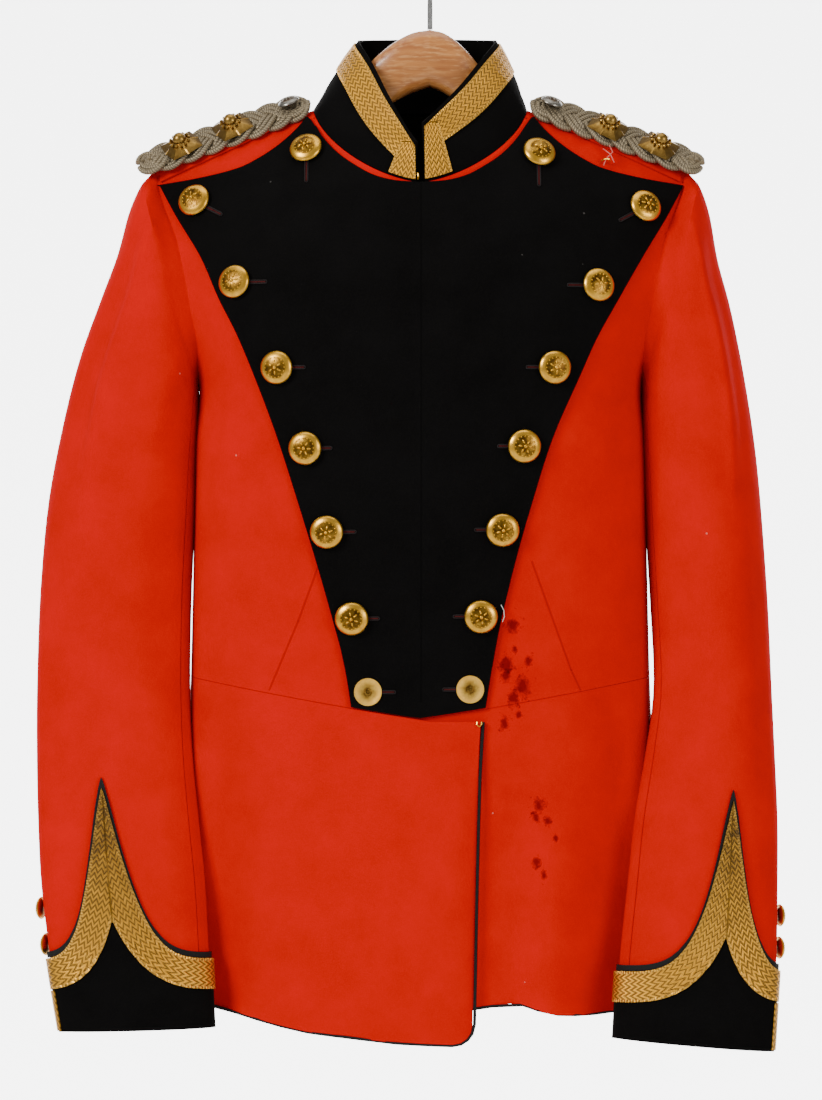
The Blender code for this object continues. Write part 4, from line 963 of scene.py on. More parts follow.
def group_seam():
    """A sewn seam between two places on the front."""
    inputs = [("Vector", "Vector"), ("X1", "Float"), ("Z1", "Float"), ("X2", "Float"), ("Z2", "Float")]
    group, net, given, out = make_group("seam_line", inputs, ["Mask"])
    x, y, z = net.parts(given[0])
    run_x = net.math("SUBTRACT", given[3], given[1])
    run_z = net.math("SUBTRACT", given[4], given[2])
    at_x = net.math("SUBTRACT", x, given[1])
    at_z = net.math("SUBTRACT", z, given[2])
    dot = net.math("ADD", net.math("MULTIPLY", at_x, run_x), net.math("MULTIPLY", at_z, run_z))
    full = net.math("ADD", net.math("MULTIPLY", run_x, run_x), net.math("MULTIPLY", run_z, run_z))
    share = net.node("Math", net.math("DIVIDE", dot, full), 1.0, operation="MULTIPLY")
    share.use_clamp = True
    off_x = net.math("SUBTRACT", at_x, net.math("MULTIPLY", run_x, share.outputs[0]))
    off_z = net.math("SUBTRACT", at_z, net.math("MULTIPLY", run_z, share.outputs[0]))
    away = net.math("SQRT", net.math("ADD", net.math("MULTIPLY", off_x, off_x), net.math("MULTIPLY", off_z, off_z)))
    net.put(out[0], net.span(away, 0.0001, 0.0011, 1.0, 0.0))
    return group


def group_lace():
    """Woven metal lace: zigzag ribs along the band, fine wire threads and a beaded edge on each side."""
    group, net, given, out = make_group("lace_weave", [("UV", "Vector")], ["Rib", "Wire", "Bead", "Height"])
    along, across, _ = net.parts(given[0])
    zigzag = net.math("PINGPONG", net.math("MULTIPLY", across, 5.0), 0.5)
    phase = net.math("ADD", net.math("DIVIDE", along, 0.0046), net.math("MULTIPLY", zigzag, 1.7))
    rib = net.math("PINGPONG", phase, 0.5)
    rib = net.span(rib, 0.08, 0.36)
    wires = net.math("SINE", net.math("MULTIPLY", net.math("ADD", along, net.math("MULTIPLY", across, 0.004)),
                                      2 * math.pi / 0.0009))
    wire = net.span(wires, -1.0, 1.0)
    edge = net.math("ABSOLUTE", net.math("SUBTRACT", across, 0.5))
    rim = net.span(edge, 0.40, 0.43)
    rail = net.math("COMPARE", edge, 0.385, 0.018)
    bead = net.math("ABSOLUTE", net.math("SINE", net.math("MULTIPLY", along, math.pi / 0.0021)))
    height = net.math("ADD", net.math("MULTIPLY", rib, 0.7), net.math("MULTIPLY", wire, 0.16))
    inner = net.math("MULTIPLY", height, net.math("SUBTRACT", 1.0, rim))
    height = net.math("ADD", inner, net.math("MULTIPLY", net.math("MULTIPLY", bead, rim), 1.0))
    height = net.math("SUBTRACT", height, net.math("MULTIPLY", rail, 0.4))
    net.put(out[0], rib)
    net.put(out[1], wire)
    net.put(out[2], net.math("MULTIPLY", rim, bead))
    net.put(out[3], height)
    return group


def group_twist():
    """Wire wound round a cord: slanting ridges round the tube."""
    group, net, given, out = make_group("wire_twist", [("UV", "Vector")], ["Ridge", "Fine"])
    along, around, _ = net.parts(given[0])
    phase = net.math("ADD", net.math("DIVIDE", along, 0.0021), net.math("MULTIPLY", around, 2.0))
    ridge = net.span(net.math("PINGPONG", phase, 0.5), 0.0, 0.4)
    fine = net.math("SINE", net.math("MULTIPLY", phase, 2 * math.pi * 4))
    net.put(out[0], ridge)
    net.put(out[1], net.span(fine, -1.0, 1.0))
    return group


def start_material(name):
    made = bpy.data.materials.new(name)
    made.use_nodes = True
    net = Net(made.node_tree)
    return made, net, made.node_tree.nodes["Principled BSDF"]


def object_place(net):
    return net.node("TexCoord").outputs["Object"]


def bump(net, shader, height, strength, distance):
    made = net.node("Bump")
    made.inputs["Strength"].default_value = strength
    made.inputs["Distance"].default_value = distance
    net.put(made.inputs["Height"], height)
    net.put(shader.inputs["Normal"], made.outputs[0])


def wool(name, colours, groups, sheen, seams=(), stains=(), lint=(0.5, 0.45, 0.4, 1), lint_share=0.5,
         strength=0.35):
    """Dense wool in a dark, a middle and a light shade of one dye."""
    made, net, shader = start_material(name)
    place = object_place(net)
    fibre, mottle, height, specks = net.use(groups["nap"], place)
    dark, middle, light = colours
    colour = net.blend(net.span(mottle, 0.3, 0.7), dark, middle)
    colour = net.blend(net.math("MULTIPLY", net.span(fibre, 0.45, 0.75), 0.55), colour, light)
    for (x1, z1), (x2, z2) in seams:
        line = net.use(groups["seam"], place, x1 * MM, z1 * MM, x2 * MM, z2 * MM)[0]
        colour = net.blend(net.math("MULTIPLY", line, 0.55), colour, [0.45 * c for c in dark[:3]] + [1])
        height = net.math("SUBTRACT", height, net.math("MULTIPLY", line, 1.5))
    for x, z, radius in stains:
        spot = net.use(groups["spot"], place, x * MM, z * MM, radius * MM)[0]
        colour = net.blend(net.math("MULTIPLY", spot, 0.7), colour, (0.07, 0.002, 0.002, 1))
    colour = net.blend(net.math("MULTIPLY", specks, lint_share), colour, lint)
    net.put(shader.inputs["Base Color"], colour)
    net.put(shader.inputs["Roughness"], net.span(fibre, 0.2, 0.8, 0.82, 0.98))
    shader.inputs["Specular IOR Level"].default_value = 0.05
    shader.inputs["Sheen Weight"].default_value = sheen[0]
    shader.inputs["Sheen Roughness"].default_value = 0.45
    shader.inputs["Sheen Tint"].default_value = sheen[1]
    bump(net, shader, height, strength, 0.0004)
    return made


def lace_metal(name, groups, tarnish_low=None, tarnish_high=None):
    """Gold lace by its own UV map, dark brown in the grooves between its ribs as painted shade and lighter on its wire
    crests and edge beads as painted highlight; the cuffs' lace browns towards its points.
    """
    made, net, shader = start_material(name)
    uv = net.node("UVMap", uv_map="band").outputs[0]
    place = object_place(net)
    rib, wire, bead, height = net.use(groups["lace"], uv)
    worn = net.span(net.noise(place, 70, 4, 0.65), 0.42, 0.72)
    # Painted shade and highlight: the rib mask colours the grooves between ribs dark brown, and the wire and bead masks
    # lighten the thread crests and edge beads.
    colour = net.blend(rib, (0.09, 0.028, 0.002, 1), (0.82, 0.37, 0.022, 1))
    colour = net.blend(net.math("MULTIPLY", wire, 0.28), colour, (1.0, 0.60, 0.09, 1))
    colour = net.blend(net.math("MULTIPLY", bead, 0.5), colour, (0.95, 0.52, 0.09, 1))
    colour = net.blend(net.math("MULTIPLY", worn, 0.25), colour, (0.36, 0.17, 0.03, 1))
    if tarnish_low is not None:
        x, y, z = net.parts(place)
        high = net.span(z, tarnish_low, tarnish_high)
        grime = net.math("MULTIPLY", high, net.span(net.noise(place, 120, 3, 0.6), 0.25, 0.7, 0.35, 1.0))
        colour = net.blend(net.math("MULTIPLY", grime, 0.9), colour, (0.04, 0.022, 0.01, 1))
    net.put(shader.inputs["Base Color"], colour)
    shader.inputs["Metallic"].default_value = 0.8
    net.put(shader.inputs["Roughness"], net.span(wire, 0.0, 1.0, 0.34, 0.5))
    bump(net, shader, height, 0.85, 0.0007)
    return made


def gilt_metal(name, bright, dull, rough=(0.24, 0.40)):
    """Gilt brass with dark patina round its raised design, by the attribute patina."""
    made, net, shader = start_material(name)
    place = object_place(net)
    cloud = net.noise(place, 220, 4, 0.6)
    scratch = net.noise(place, 1500, 2, 0.5)
    patina = net.node("Attribute", attribute_name="patina").outputs["Fac"]
    colour = net.blend(net.span(cloud, 0.35, 0.7), bright, dull)
    dirt = net.math("MULTIPLY", patina, net.span(cloud, 0.3, 0.62, 0.55, 1.0))
    colour = net.blend(dirt, colour, (0.10, 0.045, 0.008, 1))
    net.put(shader.inputs["Base Color"], colour)
    shader.inputs["Metallic"].default_value = 1.0
    net.put(shader.inputs["Roughness"], net.span(cloud, 0.3, 0.75, *rough))
    bump(net, shader, net.math("ADD", scratch, net.math("MULTIPLY", cloud, 2.0)), 0.12, 0.0003)
    return made


def cord_metal(name, groups):
    made, net, shader = start_material(name)
    uv = net.node("UVMap", uv_map="band").outputs[0]
    place = object_place(net)
    ridge, fine = net.use(groups["twist"], uv)
    worn = net.span(net.noise(place, 160, 4, 0.65), 0.35, 0.7)
    # Painted shade and highlight: the twist's grooves are coloured near black, its ridges pale, and the fine mask
    # lightens the wire crests.
    colour = net.blend(ridge, (0.035, 0.024, 0.012, 1), (0.34, 0.26, 0.15, 1))
    colour = net.blend(net.math("MULTIPLY", fine, 0.35), colour, (0.62, 0.52, 0.34, 1))
    colour = net.blend(net.math("MULTIPLY", worn, 0.5), colour, (0.20, 0.16, 0.11, 1))
    net.put(shader.inputs["Base Color"], colour)
    shader.inputs["Metallic"].default_value = 0.6
    net.put(shader.inputs["Roughness"], net.span(ridge, 0.0, 1.0, 0.6, 0.38))
    bump(net, shader, net.math("ADD", ridge, net.math("MULTIPLY", fine, 0.2)), 0.8, 0.0006)
    return made


def braid_cloth(name, dark, light):
    """Narrow black braid and worked thread: ribs across, by Object coordinates."""
    made, net, shader = start_material(name)
    place = object_place(net)
    x, y, z = net.parts(place)
    slant = net.math("ADD", net.math("ADD", x, y), z)
    rib = net.span(net.math("SINE", net.math("MULTIPLY", slant, 2 * math.pi / 0.0013)), -1.0, 1.0)
    fuzz = net.noise(place, 1800, 2, 0.6)
    net.put(shader.inputs["Base Color"], net.blend(net.math("MULTIPLY", rib, fuzz), dark, light))
    net.put(shader.inputs["Roughness"], net.span(fuzz, 0.2, 0.8, 0.6, 0.85))
    shader.inputs["Specular IOR Level"].default_value = 0.25
    bump(net, shader, net.math("ADD", rib, fuzz), 0.6, 0.0004)
    return made


def varnished_wood(name):
    made, net, shader = start_material(name)
    place = object_place(net)
    flow = net.node("Mapping", place)
    flow.inputs["Scale"].default_value = (6, 90, 60)
    flow.inputs["Rotation"].default_value = (0.0, 0.5, 0.0)
    broad = net.noise(flow.outputs[0], 2.2, 4, 0.6)
    fine = net.noise(flow.outputs[0], 9.0, 3, 0.6)
    colour = net.blend(net.span(broad, 0.35, 0.68), (0.62, 0.24, 0.055, 1), (0.34, 0.095, 0.018, 1))
    colour = net.blend(net.math("MULTIPLY", net.span(fine, 0.5, 0.72), 0.55), colour, (0.86, 0.44, 0.15, 1))
    net.put(shader.inputs["Base Color"], colour)
    net.put(shader.inputs["Roughness"], net.span(fine, 0.3, 0.7, 0.3, 0.42))
    shader.inputs["Coat Weight"].default_value = 0.7
    shader.inputs["Coat Roughness"].default_value = 0.16
    bump(net, shader, fine, 0.12, 0.0004)
    return made


def bright_wire(name):
    made, net, shader = start_material(name)
    cloud = net.noise(object_place(net), 180, 3, 0.6)
    net.put(shader.inputs["Base Color"], net.blend(cloud, (0.55, 0.54, 0.52, 1), (0.78, 0.77, 0.75, 1)))
    shader.inputs["Metallic"].default_value = 1.0
    net.put(shader.inputs["Roughness"], net.span(cloud, 0.3, 0.7, 0.18, 0.34))
    bump(net, shader, cloud, 0.05, 0.0003)
    return made


def plain_paper(name, colour, glow):
    made, net, shader = start_material(name)
    cloud = net.noise(object_place(net), 4, 2, 0.5)
    low = [0.985 * c for c in colour[:3]] + [1]
    net.put(shader.inputs["Base Color"], net.blend(cloud, low, colour))
    shader.inputs["Roughness"].default_value = 0.95
    shader.inputs["Emission Color"].default_value = (1, 1, 1, 1)
    shader.inputs["Emission Strength"].default_value = glow
    return made


def make_materials():
    groups = {"nap": group_nap(), "spot": group_spot(), "seam": group_seam(), "lace": group_lace(),
              "twist": group_twist()}
    reds = ((0.56, 0.0006, 0.0003, 1), (0.66, 0.0009, 0.0005, 1), (0.76, 0.008, 0.004, 1))
    blacks = ((0.0016, 0.0014, 0.0013, 1), (0.0030, 0.0027, 0.0026, 1), (0.009, 0.008, 0.0075, 1))
    red_sheen = (0.03, (1.0, 0.12, 0.08, 1))
    black_sheen = (0.02, (0.5, 0.45, 0.42, 1))
    pale = (0.85, 0.30, 0.22, 1)
    looks = {"red": wool("scarlet_wool", reds, groups, red_sheen, lint=pale)}
    for node, seams in SEAM_LINES.items():
        stains = STAINS if node.endswith("left") else ()
        looks[node] = wool("scarlet_wool_" + node, reds, groups, red_sheen, seams, stains, lint=pale)
    looks["skirt_front_left"] = wool("scarlet_wool_skirt", reds, groups, red_sheen, (), STAINS, lint=pale)
    lining = ((0.006, 0.007, 0.004, 1), (0.012, 0.013, 0.008, 1), (0.03, 0.03, 0.02, 1))
    looks["lining"] = wool("dark_lining", lining, groups, black_sheen, lint=(0.1, 0.1, 0.08, 1), lint_share=0.2)
    looks["black"] = wool("black_wool", blacks, groups, black_sheen, lint=(0.10, 0.09, 0.08, 1), lint_share=0.35)
    middle = ((-6.8, -207), (-6.8, -600))
    looks["plastron"] = wool("black_wool_plastron", blacks, groups, black_sheen, [middle],
                             lint=(0.12, 0.11, 0.10, 1), lint_share=0.45)
    looks["gold"] = lace_metal("gold_lace", groups)
    looks["cuff_gold"] = lace_metal("gold_lace_cuffs", groups, -0.80, -0.70)
    looks["gilt"] = gilt_metal("gilt_brass", (0.92, 0.50, 0.06, 1), (0.66, 0.34, 0.03, 1))
    looks["flat_gilt"] = gilt_metal("flat_gilt", (1.0, 0.62, 0.12, 1), (0.86, 0.48, 0.07, 1), (0.48, 0.62))
    looks["old_silver"] = gilt_metal("old_silver", (0.34, 0.32, 0.28, 1), (0.20, 0.18, 0.15, 1))
    looks["bronze"] = gilt_metal("old_bronze", (0.50, 0.30, 0.07, 1), (0.30, 0.17, 0.04, 1))
    looks["cord"] = cord_metal("metal_cord", groups)
    looks["braid"] = braid_cloth("black_braid", (0.004, 0.004, 0.004, 1), (0.016, 0.015, 0.015, 1))
    looks["thread"] = braid_cloth("black_thread", (0.006, 0.004, 0.004, 1), (0.030, 0.016, 0.015, 1))
    # Red wool seen in the buttonhole slits, coloured dark red as painted shade inside the slit.
    looks["red_thread"] = braid_cloth("dark_red_thread", (0.05, 0.001, 0.001, 1), (0.16, 0.004, 0.003, 1))
    looks["pink_thread"] = braid_cloth("pink_thread", (0.75, 0.16, 0.13, 1), (0.95, 0.42, 0.36, 1))
    looks["white_thread"] = braid_cloth("white_thread", (0.7, 0.68, 0.62, 1), (0.9, 0.9, 0.86, 1))
    looks["wood"] = varnished_wood("varnished_wood")
    looks["steel"] = bright_wire("bright_steel")
    looks["floor"] = plain_paper("pale_floor", (0.85, 0.85, 0.85, 1), 0)
    looks["wall"] = plain_paper("lit_wall", (0.93, 0.93, 0.93, 1), PAPER_GLOW)
    return looks


def hand_over(thing, node):
    """A finished piece rides with the one body and stands for its CAD node."""
    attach(thing, "root")
    if node:
        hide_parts(node)
    return thing


def smooth_mesh(thing, degrees=50):
    thing.data.polygons.foreach_set("use_smooth", [True] * len(thing.data.polygons))
    thing.data.set_sharp_from_angle(angle=math.radians(degrees))


def shell(name, points, normals, thickness, material, uv=None, inside=None):
    """A cut piece of cloth with both its skins and its edge; uv is (along, across) for woven bands."""
    rows, columns = points.shape[:2]
    inner = points - normals * thickness
    flip = np.mean(np.sum(grid_normals(points) * normals, axis=2)) < 0
    faces = quads(rows, columns, flip) + quads(rows, columns, not flip, rows * columns)
    rim = [(0, j) for j in range(columns - 1)]
    rim += [(i, columns - 1) for i in range(rows - 1)]
    rim += [(rows - 1, j) for j in range(columns - 1, 0, -1)]
    rim += [(i, 0) for i in range(rows - 1, 0, -1)]
    ring = [i * columns + j for i, j in rim]
    under = rows * columns
    for a, b in zip(ring, ring[1:] + ring[:1]):
        face = (a, b, b + under, a + under)
        faces.append(face[::-1] if flip else face)
    mesh = bpy.data.meshes.new(name)
    corners = np.concatenate([points.reshape(-1, 3), inner.reshape(-1, 3)])
    mesh.from_pydata([tuple(p) for p in corners], [], faces)
    mesh.update()
    if uv is not None:
        layer = mesh.uv_layers.new(name="band")
        flat = np.concatenate([uv.reshape(-1, 2), uv.reshape(-1, 2)])
        picked = np.array([loop.vertex_index for loop in mesh.loops])
        layer.data.foreach_set("uv", flat[picked].ravel())
    thing = bpy.data.objects.new(name, mesh)
    bpy.context.scene.collection.objects.link(thing)
    mesh.materials.append(material)
    if inside:
        mesh.materials.append(inside)
        skin = (rows - 1) * (columns - 1)
        lined = [1 if skin <= face.index < 2 * skin else 0 for face in mesh.polygons]
        mesh.polygons.foreach_set("material_index", lined)
    smooth_mesh(thing)
    return thing


def tube_mesh(name, routes, radii, material, sides=8, closed=False):
    """Round cords along routes of points, all in one mesh, with (along, around) in the map band."""
    vertices, faces, uvs = [], [], []
    for route, radius in zip(routes, radii):
        route = np.array(route)
        count = len(route)
        if closed:
            ahead = np.roll(route, -1, axis=0) - np.roll(route, 1, axis=0)
        else:
            ahead = np.gradient(route, axis=0)
        ahead /= np.maximum(np.linalg.norm(ahead, axis=1, keepdims=True), 1e-9)
        guide = np.array([0.31, -0.78, 0.55])
        side = np.cross(ahead, guide)
        side /= np.linalg.norm(side, axis=1, keepdims=True)
        up = np.cross(side, ahead)
        steps = np.linalg.norm(np.diff(route, axis=0), axis=1)
        along = np.concatenate([[0], np.cumsum(steps)])
        start = len(vertices)
        for i in range(count):
            for k in range(sides):
                turn = 2 * math.pi * k / sides
                vertices.append(tuple(route[i] + radius * (side[i] * math.cos(turn) + up[i] * math.sin(turn))))
        last = count if closed else count - 1
        for i in range(last):
            for k in range(sides):
                a = start + i * sides + k
                b = start + i * sides + (k + 1) % sides
                c = start + ((i + 1) % count) * sides + (k + 1) % sides
                d = start + ((i + 1) % count) * sides + k
                faces.append((a, b, c, d))
                end = along[i + 1] if i + 1 < count else along[i] + steps[-1]
                uvs += [(along[i], k / sides), (along[i], (k + 1) / sides), (end, (k + 1) / sides), (end, k / sides)]
        if not closed:
            faces.append(tuple(start + k for k in range(sides))[::-1])
            uvs += [(0, 0)] * sides
            faces.append(tuple(start + (count - 1) * sides + k for k in range(sides)))
            uvs += [(along[-1], 0)] * sides
    mesh = bpy.data.meshes.new(name)
    mesh.from_pydata(vertices, [], faces)
    layer = mesh.uv_layers.new(name="band")
    layer.data.foreach_set("uv", np.array(uvs).ravel())
    form = bmesh.new()
    form.from_mesh(mesh)
    bmesh.ops.recalc_face_normals(form, faces=form.faces)
    form.to_mesh(mesh)
    form.free()
    mesh.materials.append(material)
    thing = bpy.data.objects.new(name, mesh)
    bpy.context.scene.collection.objects.link(thing)
    smooth_mesh(thing, 60)
    return thing


def edged(count, hem):
    """Even steps from 0 to 1 with one more close to each end, for a crisp cloth edge."""
    inside = np.linspace(0, 1, count)[1:-1]
    return np.concatenate([[0, hem], inside, [1 - hem, 1]])


def panel_grid(face, side, shares, rows):
    """A bodice panel from the neck and shoulder seam down to the waist seam, with its normals."""
    step = 0.04
    grid = []
    for share in list(shares) + [1 + step]:
        inside = min(share, 1.0)
        top = panel_top(face, inside) - SEAM_GAP
        bottom = waist_z(face, edge_x(face, inside, WAIST_SIDE_Z)) + 0.5 * SEAM_GAP
        line = []
        for t in rows:
            z = top + (bottom - top) * t ** ROW_CROWD
            if share > 1:
                other = "back" if face == "front" else "front"
                line.append(body_point(other, side, edge_x(other, 2 - share, z), z))
            else:
                line.append(body_point(face, side, max(edge_x(face, share, z), 0.03 * MM if face == "front" else 0), z))
        grid.append(line)
    padded = np.array(grid).transpose(1, 0, 2)
    over = 2 * padded[0] - padded[1]
    on_shoulder = np.abs(padded[0, :, 0] - HANG_OFFSET) > NECK_HALF - 2 * MM
    over[on_shoulder] = padded[1][on_shoulder] * np.array([1, -1, 1])
    padded = np.concatenate([over[None], padded], axis=0)
    normals = outward_normals(padded, away_from_body(padded))[1:, :-1]
    normals[:, 0, 0] = 0
    normals /= np.linalg.norm(normals, axis=2, keepdims=True)
    points = padded[1:, :-1].copy()
    shift = -0.5 * SEAM_GAP if face == "front" else 0.5 * SEAM_GAP
    points[0, :, 1] += shift
    points[1:, -1, 1] += shift
    return points, normals


def make_bodices(looks):
    neck = [0, 2, 6, 12, 18, 24, 30, 36, 42, 48, 53, 58, 63, 67, 71, 74, 77, 80, 82]
    shoulder = [84, 87, 92, 98, 105, 112, 120, 128, 136, 145, 153, 161, 170, 176, 182, 188, 193, 197, 200]
    shares = [station_share(x * MM) for x in neck + shoulder] + [0.995, 1.0]
    rows = edged(60, 0.002)
    for side in ("right", "left"):
        for face in ("front", "back"):
            name = f"bodice_{face}_{side}"
            points, normals = panel_grid(face, side, shares, rows)
            thing = shell("cloth_" + name, points, normals, CLOTH, looks.get(name, looks["red"]), inside=looks["lining"])
            hand_over(thing, name)


def make_skirts(looks):
    rows = edged(36, 0.004)
    lap = [lap_column(inset * MM) for inset in (0, 0.6, 1.5, 3, 4.5, 6.5, 9, 12, 15, 20, 26, 32, 38)]
    angles = [2, 4, 7, 10, 13, 16, 19, 22, 25, 28, 31, 35, 39, 43, 47, 51, 55, 59, 63, 67, 71, 75, 79, 83, 86,
              88.5, 90, 93]
    points, normals = skirt_grid("front", "right", lap, angles, rows)
    thing = hand_over(shell("cloth_skirt_front_right", points, normals, CLOTH, looks["red"]),
                      "skirt_front_right")
    under = [under_column(x * MM) for x in (-24, -23, -18, -12, -6, 0)]
    points, normals = skirt_grid("front", "left", under, angles, rows)
    thing = hand_over(shell("cloth_skirt_front_left", points, normals, CLOTH, looks["skirt_front_left"]),
                      "skirt_front_left")
    half = [0] + angles
    right, right_normals = skirt_grid("back", "right", [], half, rows)
    left, left_normals = skirt_grid("back", "left", [], half, rows)
    points = np.concatenate([right[:, ::-1], left[:, 1:]], axis=1)
    normals = np.concatenate([right_normals[:, ::-1], left_normals[:, 1:]], axis=1)
    thing = hand_over(shell("cloth_skirt_back", points, normals, CLOTH, looks["red"]), "skirt_back")


def plastron_place(side, share, t):
    """A place on the plastron: share from the centre to its edge, t from its top line to the waist."""
    top_x = share * TIP_HALF
    top = min(table_mm(PLASTRON_TOP, 1, top_x), ridge_z(top_x) - PLASTRON_PEAK_DROP)
    x = top_x
    for _ in range(4):
        foot = waist_z("front", x) + PLASTRON_FOOT_LIFT
        z = top + (foot - top) * t
        x = share * (plastron_edge(side, z) if t > 0 else TIP_HALF)
    return x, z


def make_plastron(looks):
    stations = np.unique(np.concatenate([np.linspace(0, 201, 44), [85, 86, 87, 200.4, 80, 90, 83, 89]]))
    shares = [x * MM / TIP_HALF for x in stations]
    grid = []
    for t in edged(56, 0.0015):
        line = [body_point("front", "right", *plastron_place("right", share, t)) for share in shares[:0:-1]]
        line += [body_point("front", "left", *plastron_place("left", share, t)) for share in shares]
        grid.append(line)
    points = np.array(grid)
    normals = outward_normals(points, away_from_body(points))
    points = points + normals * (PLASTRON_GAP + FACING_CLOTH)
    thing = hand_over(shell("cloth_plastron", points, normals, FACING_CLOTH, looks["plastron"]), "plastron")


def fine_angles(side, low, high):
    """Angles round the sleeve, a degree apart near the cuff's point and wider elsewhere."""
    point = CUFF_POINT_ANGLE[side]
    near = [point + step for step in np.arange(-30, 30.5, 1.25)]
    far = [point + step for step in np.arange(-360, 361, 5.0) if abs(step) > 31]
    return [low] + sorted(a for a in near + far if low + 1.2 < a < high - 1.2) + [high]


def make_sleeves(looks):
    last = len(SLEEVE_RIGHT) - 1
    stops = np.concatenate([[0, 0.25, 0.5, 0.75], np.arange(1, last - 0.1, 0.22), [last - 0.045, last - 0.03]])
    gap = 0.45
    for side in ("right", "left"):
        spans = (("top_sleeve", HIND_SEAM + gap, FORE_SEAM - gap),
                 ("under_sleeve", FORE_SEAM + gap, HIND_SEAM + 360 - gap))
        middles = {v: sleeve_middle(side, max(v, 1)) for v in stops}
        for kind, low, high in spans:
            angles = fine_angles(side, low, high)
            angles = [2 * angles[0] - angles[1]] + angles + [2 * angles[-1] - angles[-2]]
            points = np.array([[sleeve_spot(side, a, v) for a in angles] for v in stops])
            middle = np.array([[middles[v]] for v in stops])
            normals = outward_normals(points, points - middle)[:, 1:-1]
            name = f"{kind}_{side}"
            thing = shell("cloth_" + name, points[:, 1:-1], normals, CLOTH, looks["red"])
            hand_over(thing, name)


class Sleeve:
    """The lower sleeve's outside by angle and height, read from columns of its rings."""

    def __init__(self, side):
        self.side = side
        self.columns = {}
        self.middle = sleeve_middle(side, len(SLEEVE_RIGHT) - 2)

    def at(self, angle, z):
        key = round(angle, 3)
        if key not in self.columns:
            stops = np.arange(7, len(SLEEVE_RIGHT) - 0.95, 0.2)
            self.columns[key] = np.array([sleeve_spot(self.side, angle, v) for v in stops])
        column = self.columns[key]
        return np.array([np.interp(-z, -column[:, 2], column[:, k]) for k in range(3)])

    def hem(self, angle):
        return sleeve_spot(self.side, angle, len(SLEEVE_RIGHT) - 1)[2] + 0.5 * MM

    def layer(self, angles, top, foot, shares, lift):
        points = np.array([[self.at(a, top(a) + (foot(a) - top(a)) * t) for a in angles] for t in shares])
        normals = outward_normals(points, (points - self.middle) * np.array([1, 1, 0]))
        return points + normals * lift, normals

    def round_girth(self, angles, z):
        """Distance round the sleeve at each angle, from the cuff's point, at a height."""
        ring = np.array([self.at(a, z)[:2] for a in angles])
        along = np.concatenate([[0], np.cumsum(np.linalg.norm(np.diff(ring, axis=0), axis=1))])
        return along - np.interp(CUFF_POINT_ANGLE[self.side], angles, along)


def band_map(girth, heights, line_s, line_z, width):
    """Place on a band along a line: how far along it, and how far from its upper edge."""
    line = np.stack([line_s, line_z], axis=1)
    starts, ends = line[:-1], line[1:]
    run = ends - starts
    length = np.linalg.norm(run, axis=1)
    walked = np.concatenate([[0], np.cumsum(length)])[:-1]
    out = np.zeros(heights.shape + (2,))
    for i in range(heights.shape[0]):
        for j in range(heights.shape[1]):
            spot = np.array([girth[j], heights[i, j]])
            t = np.clip(np.sum((spot - starts) * run, axis=1) / length ** 2, 0, 1)
            away = np.linalg.norm(starts + run * t[:, None] - spot, axis=1)
            best = int(np.argmin(away))
            out[i, j] = (walked[best] + t[best] * length[best], away[best] / width)
    return out


def make_cuffs(looks):
    for side in ("right", "left"):
        sleeve = Sleeve(side)
        angles = fine_angles(side, HIND_SEAM + 0.8, HIND_SEAM + 360 - 0.8)
        hems = {a: sleeve.hem(a) for a in angles}
        cloth_lift = LAYER_GAP + FACING_CLOTH
        lace_lift = cloth_lift + LACE + 0.3 * MM

        def top(angle):
            return cuff_top(side, angle)

        points, normals = sleeve.layer(angles, top, lambda a: hems[a], edged(16, 0.006), cloth_lift)
        thing = hand_over(shell(f"cloth_cuff_{side}", points, normals, FACING_CLOTH, looks["black"]),
                          f"cuff_{side}")

        girth = sleeve.round_girth(angles, CUFF_POINT_Z[side] - CUFF_FALL)
        line_z = np.array([top(a) for a in angles])
        foot = lace_feet(girth, line_z, angles, side)
        feet = {a: max(f, hems[a] + 1 * MM) for a, f in zip(angles, foot)}
        shares = np.linspace(0, 1, 15)
        points, normals = sleeve.layer(angles, lambda a: top(a) - SEAM_GAP, lambda a: feet[a], shares, lace_lift)
        heights = np.array([[top(a) + (feet[a] - top(a)) * t for a in angles] for t in shares])
        uv = band_map(girth, heights, girth, line_z, LACE_BAND)
        hand_over(shell(f"lace_cuff_{side}", points, normals, LACE, looks["cuff_gold"], uv),
                  f"cuff_lace_{side}")
        strip = [a for a in angles if a - HIND_SEAM < LACE_STRIP_ANGLE]
        if strip:
            points, normals = sleeve.layer(strip, lambda a: feet[a] - 1 * MM, lambda a: hems[a] + 1 * MM,
                                           np.linspace(0, 1, 12), lace_lift)
            girth_strip = np.array([girth[angles.index(a)] for a in strip])
            across = (girth_strip - girth_strip[0]) / LACE_BAND
            uv = np.stack([points[:, :, 2], np.tile(across, (12, 1))], axis=2)
            shell(f"lace_cuff_back_{side}", points, normals, LACE, looks["cuff_gold"], uv)
            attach(bpy.data.objects[f"lace_cuff_back_{side}"], "root")
        points, normals = sleeve.layer(angles, lambda a: top(a) + tracing_rise(side, a),
                                       lambda a: top(a) + 0.4 * MM, np.linspace(0, 1, 5),
                                       TRACING_THICK + 0.4 * MM)
        hand_over(shell(f"braid_cuff_{side}", points, normals, TRACING_THICK, looks["braid"]),
                  f"cuff_tracing_{side}")


def lace_feet(girth, line_z, angles, side):
    """Lower line of the lace: the heights where the band's full width from its upper line ends."""
    feet = []
    for s, angle in zip(girth, angles):
        low = lace_foot(side, angle)
        away = np.hypot(girth - s, 0)
        under = [z - math.sqrt(max(LACE_BAND ** 2 - d ** 2, 0)) for z, d in zip(line_z, away) if d < LACE_BAND]
        feet.append(min(min(under), low + 6 * MM) if under else low)
    return feet


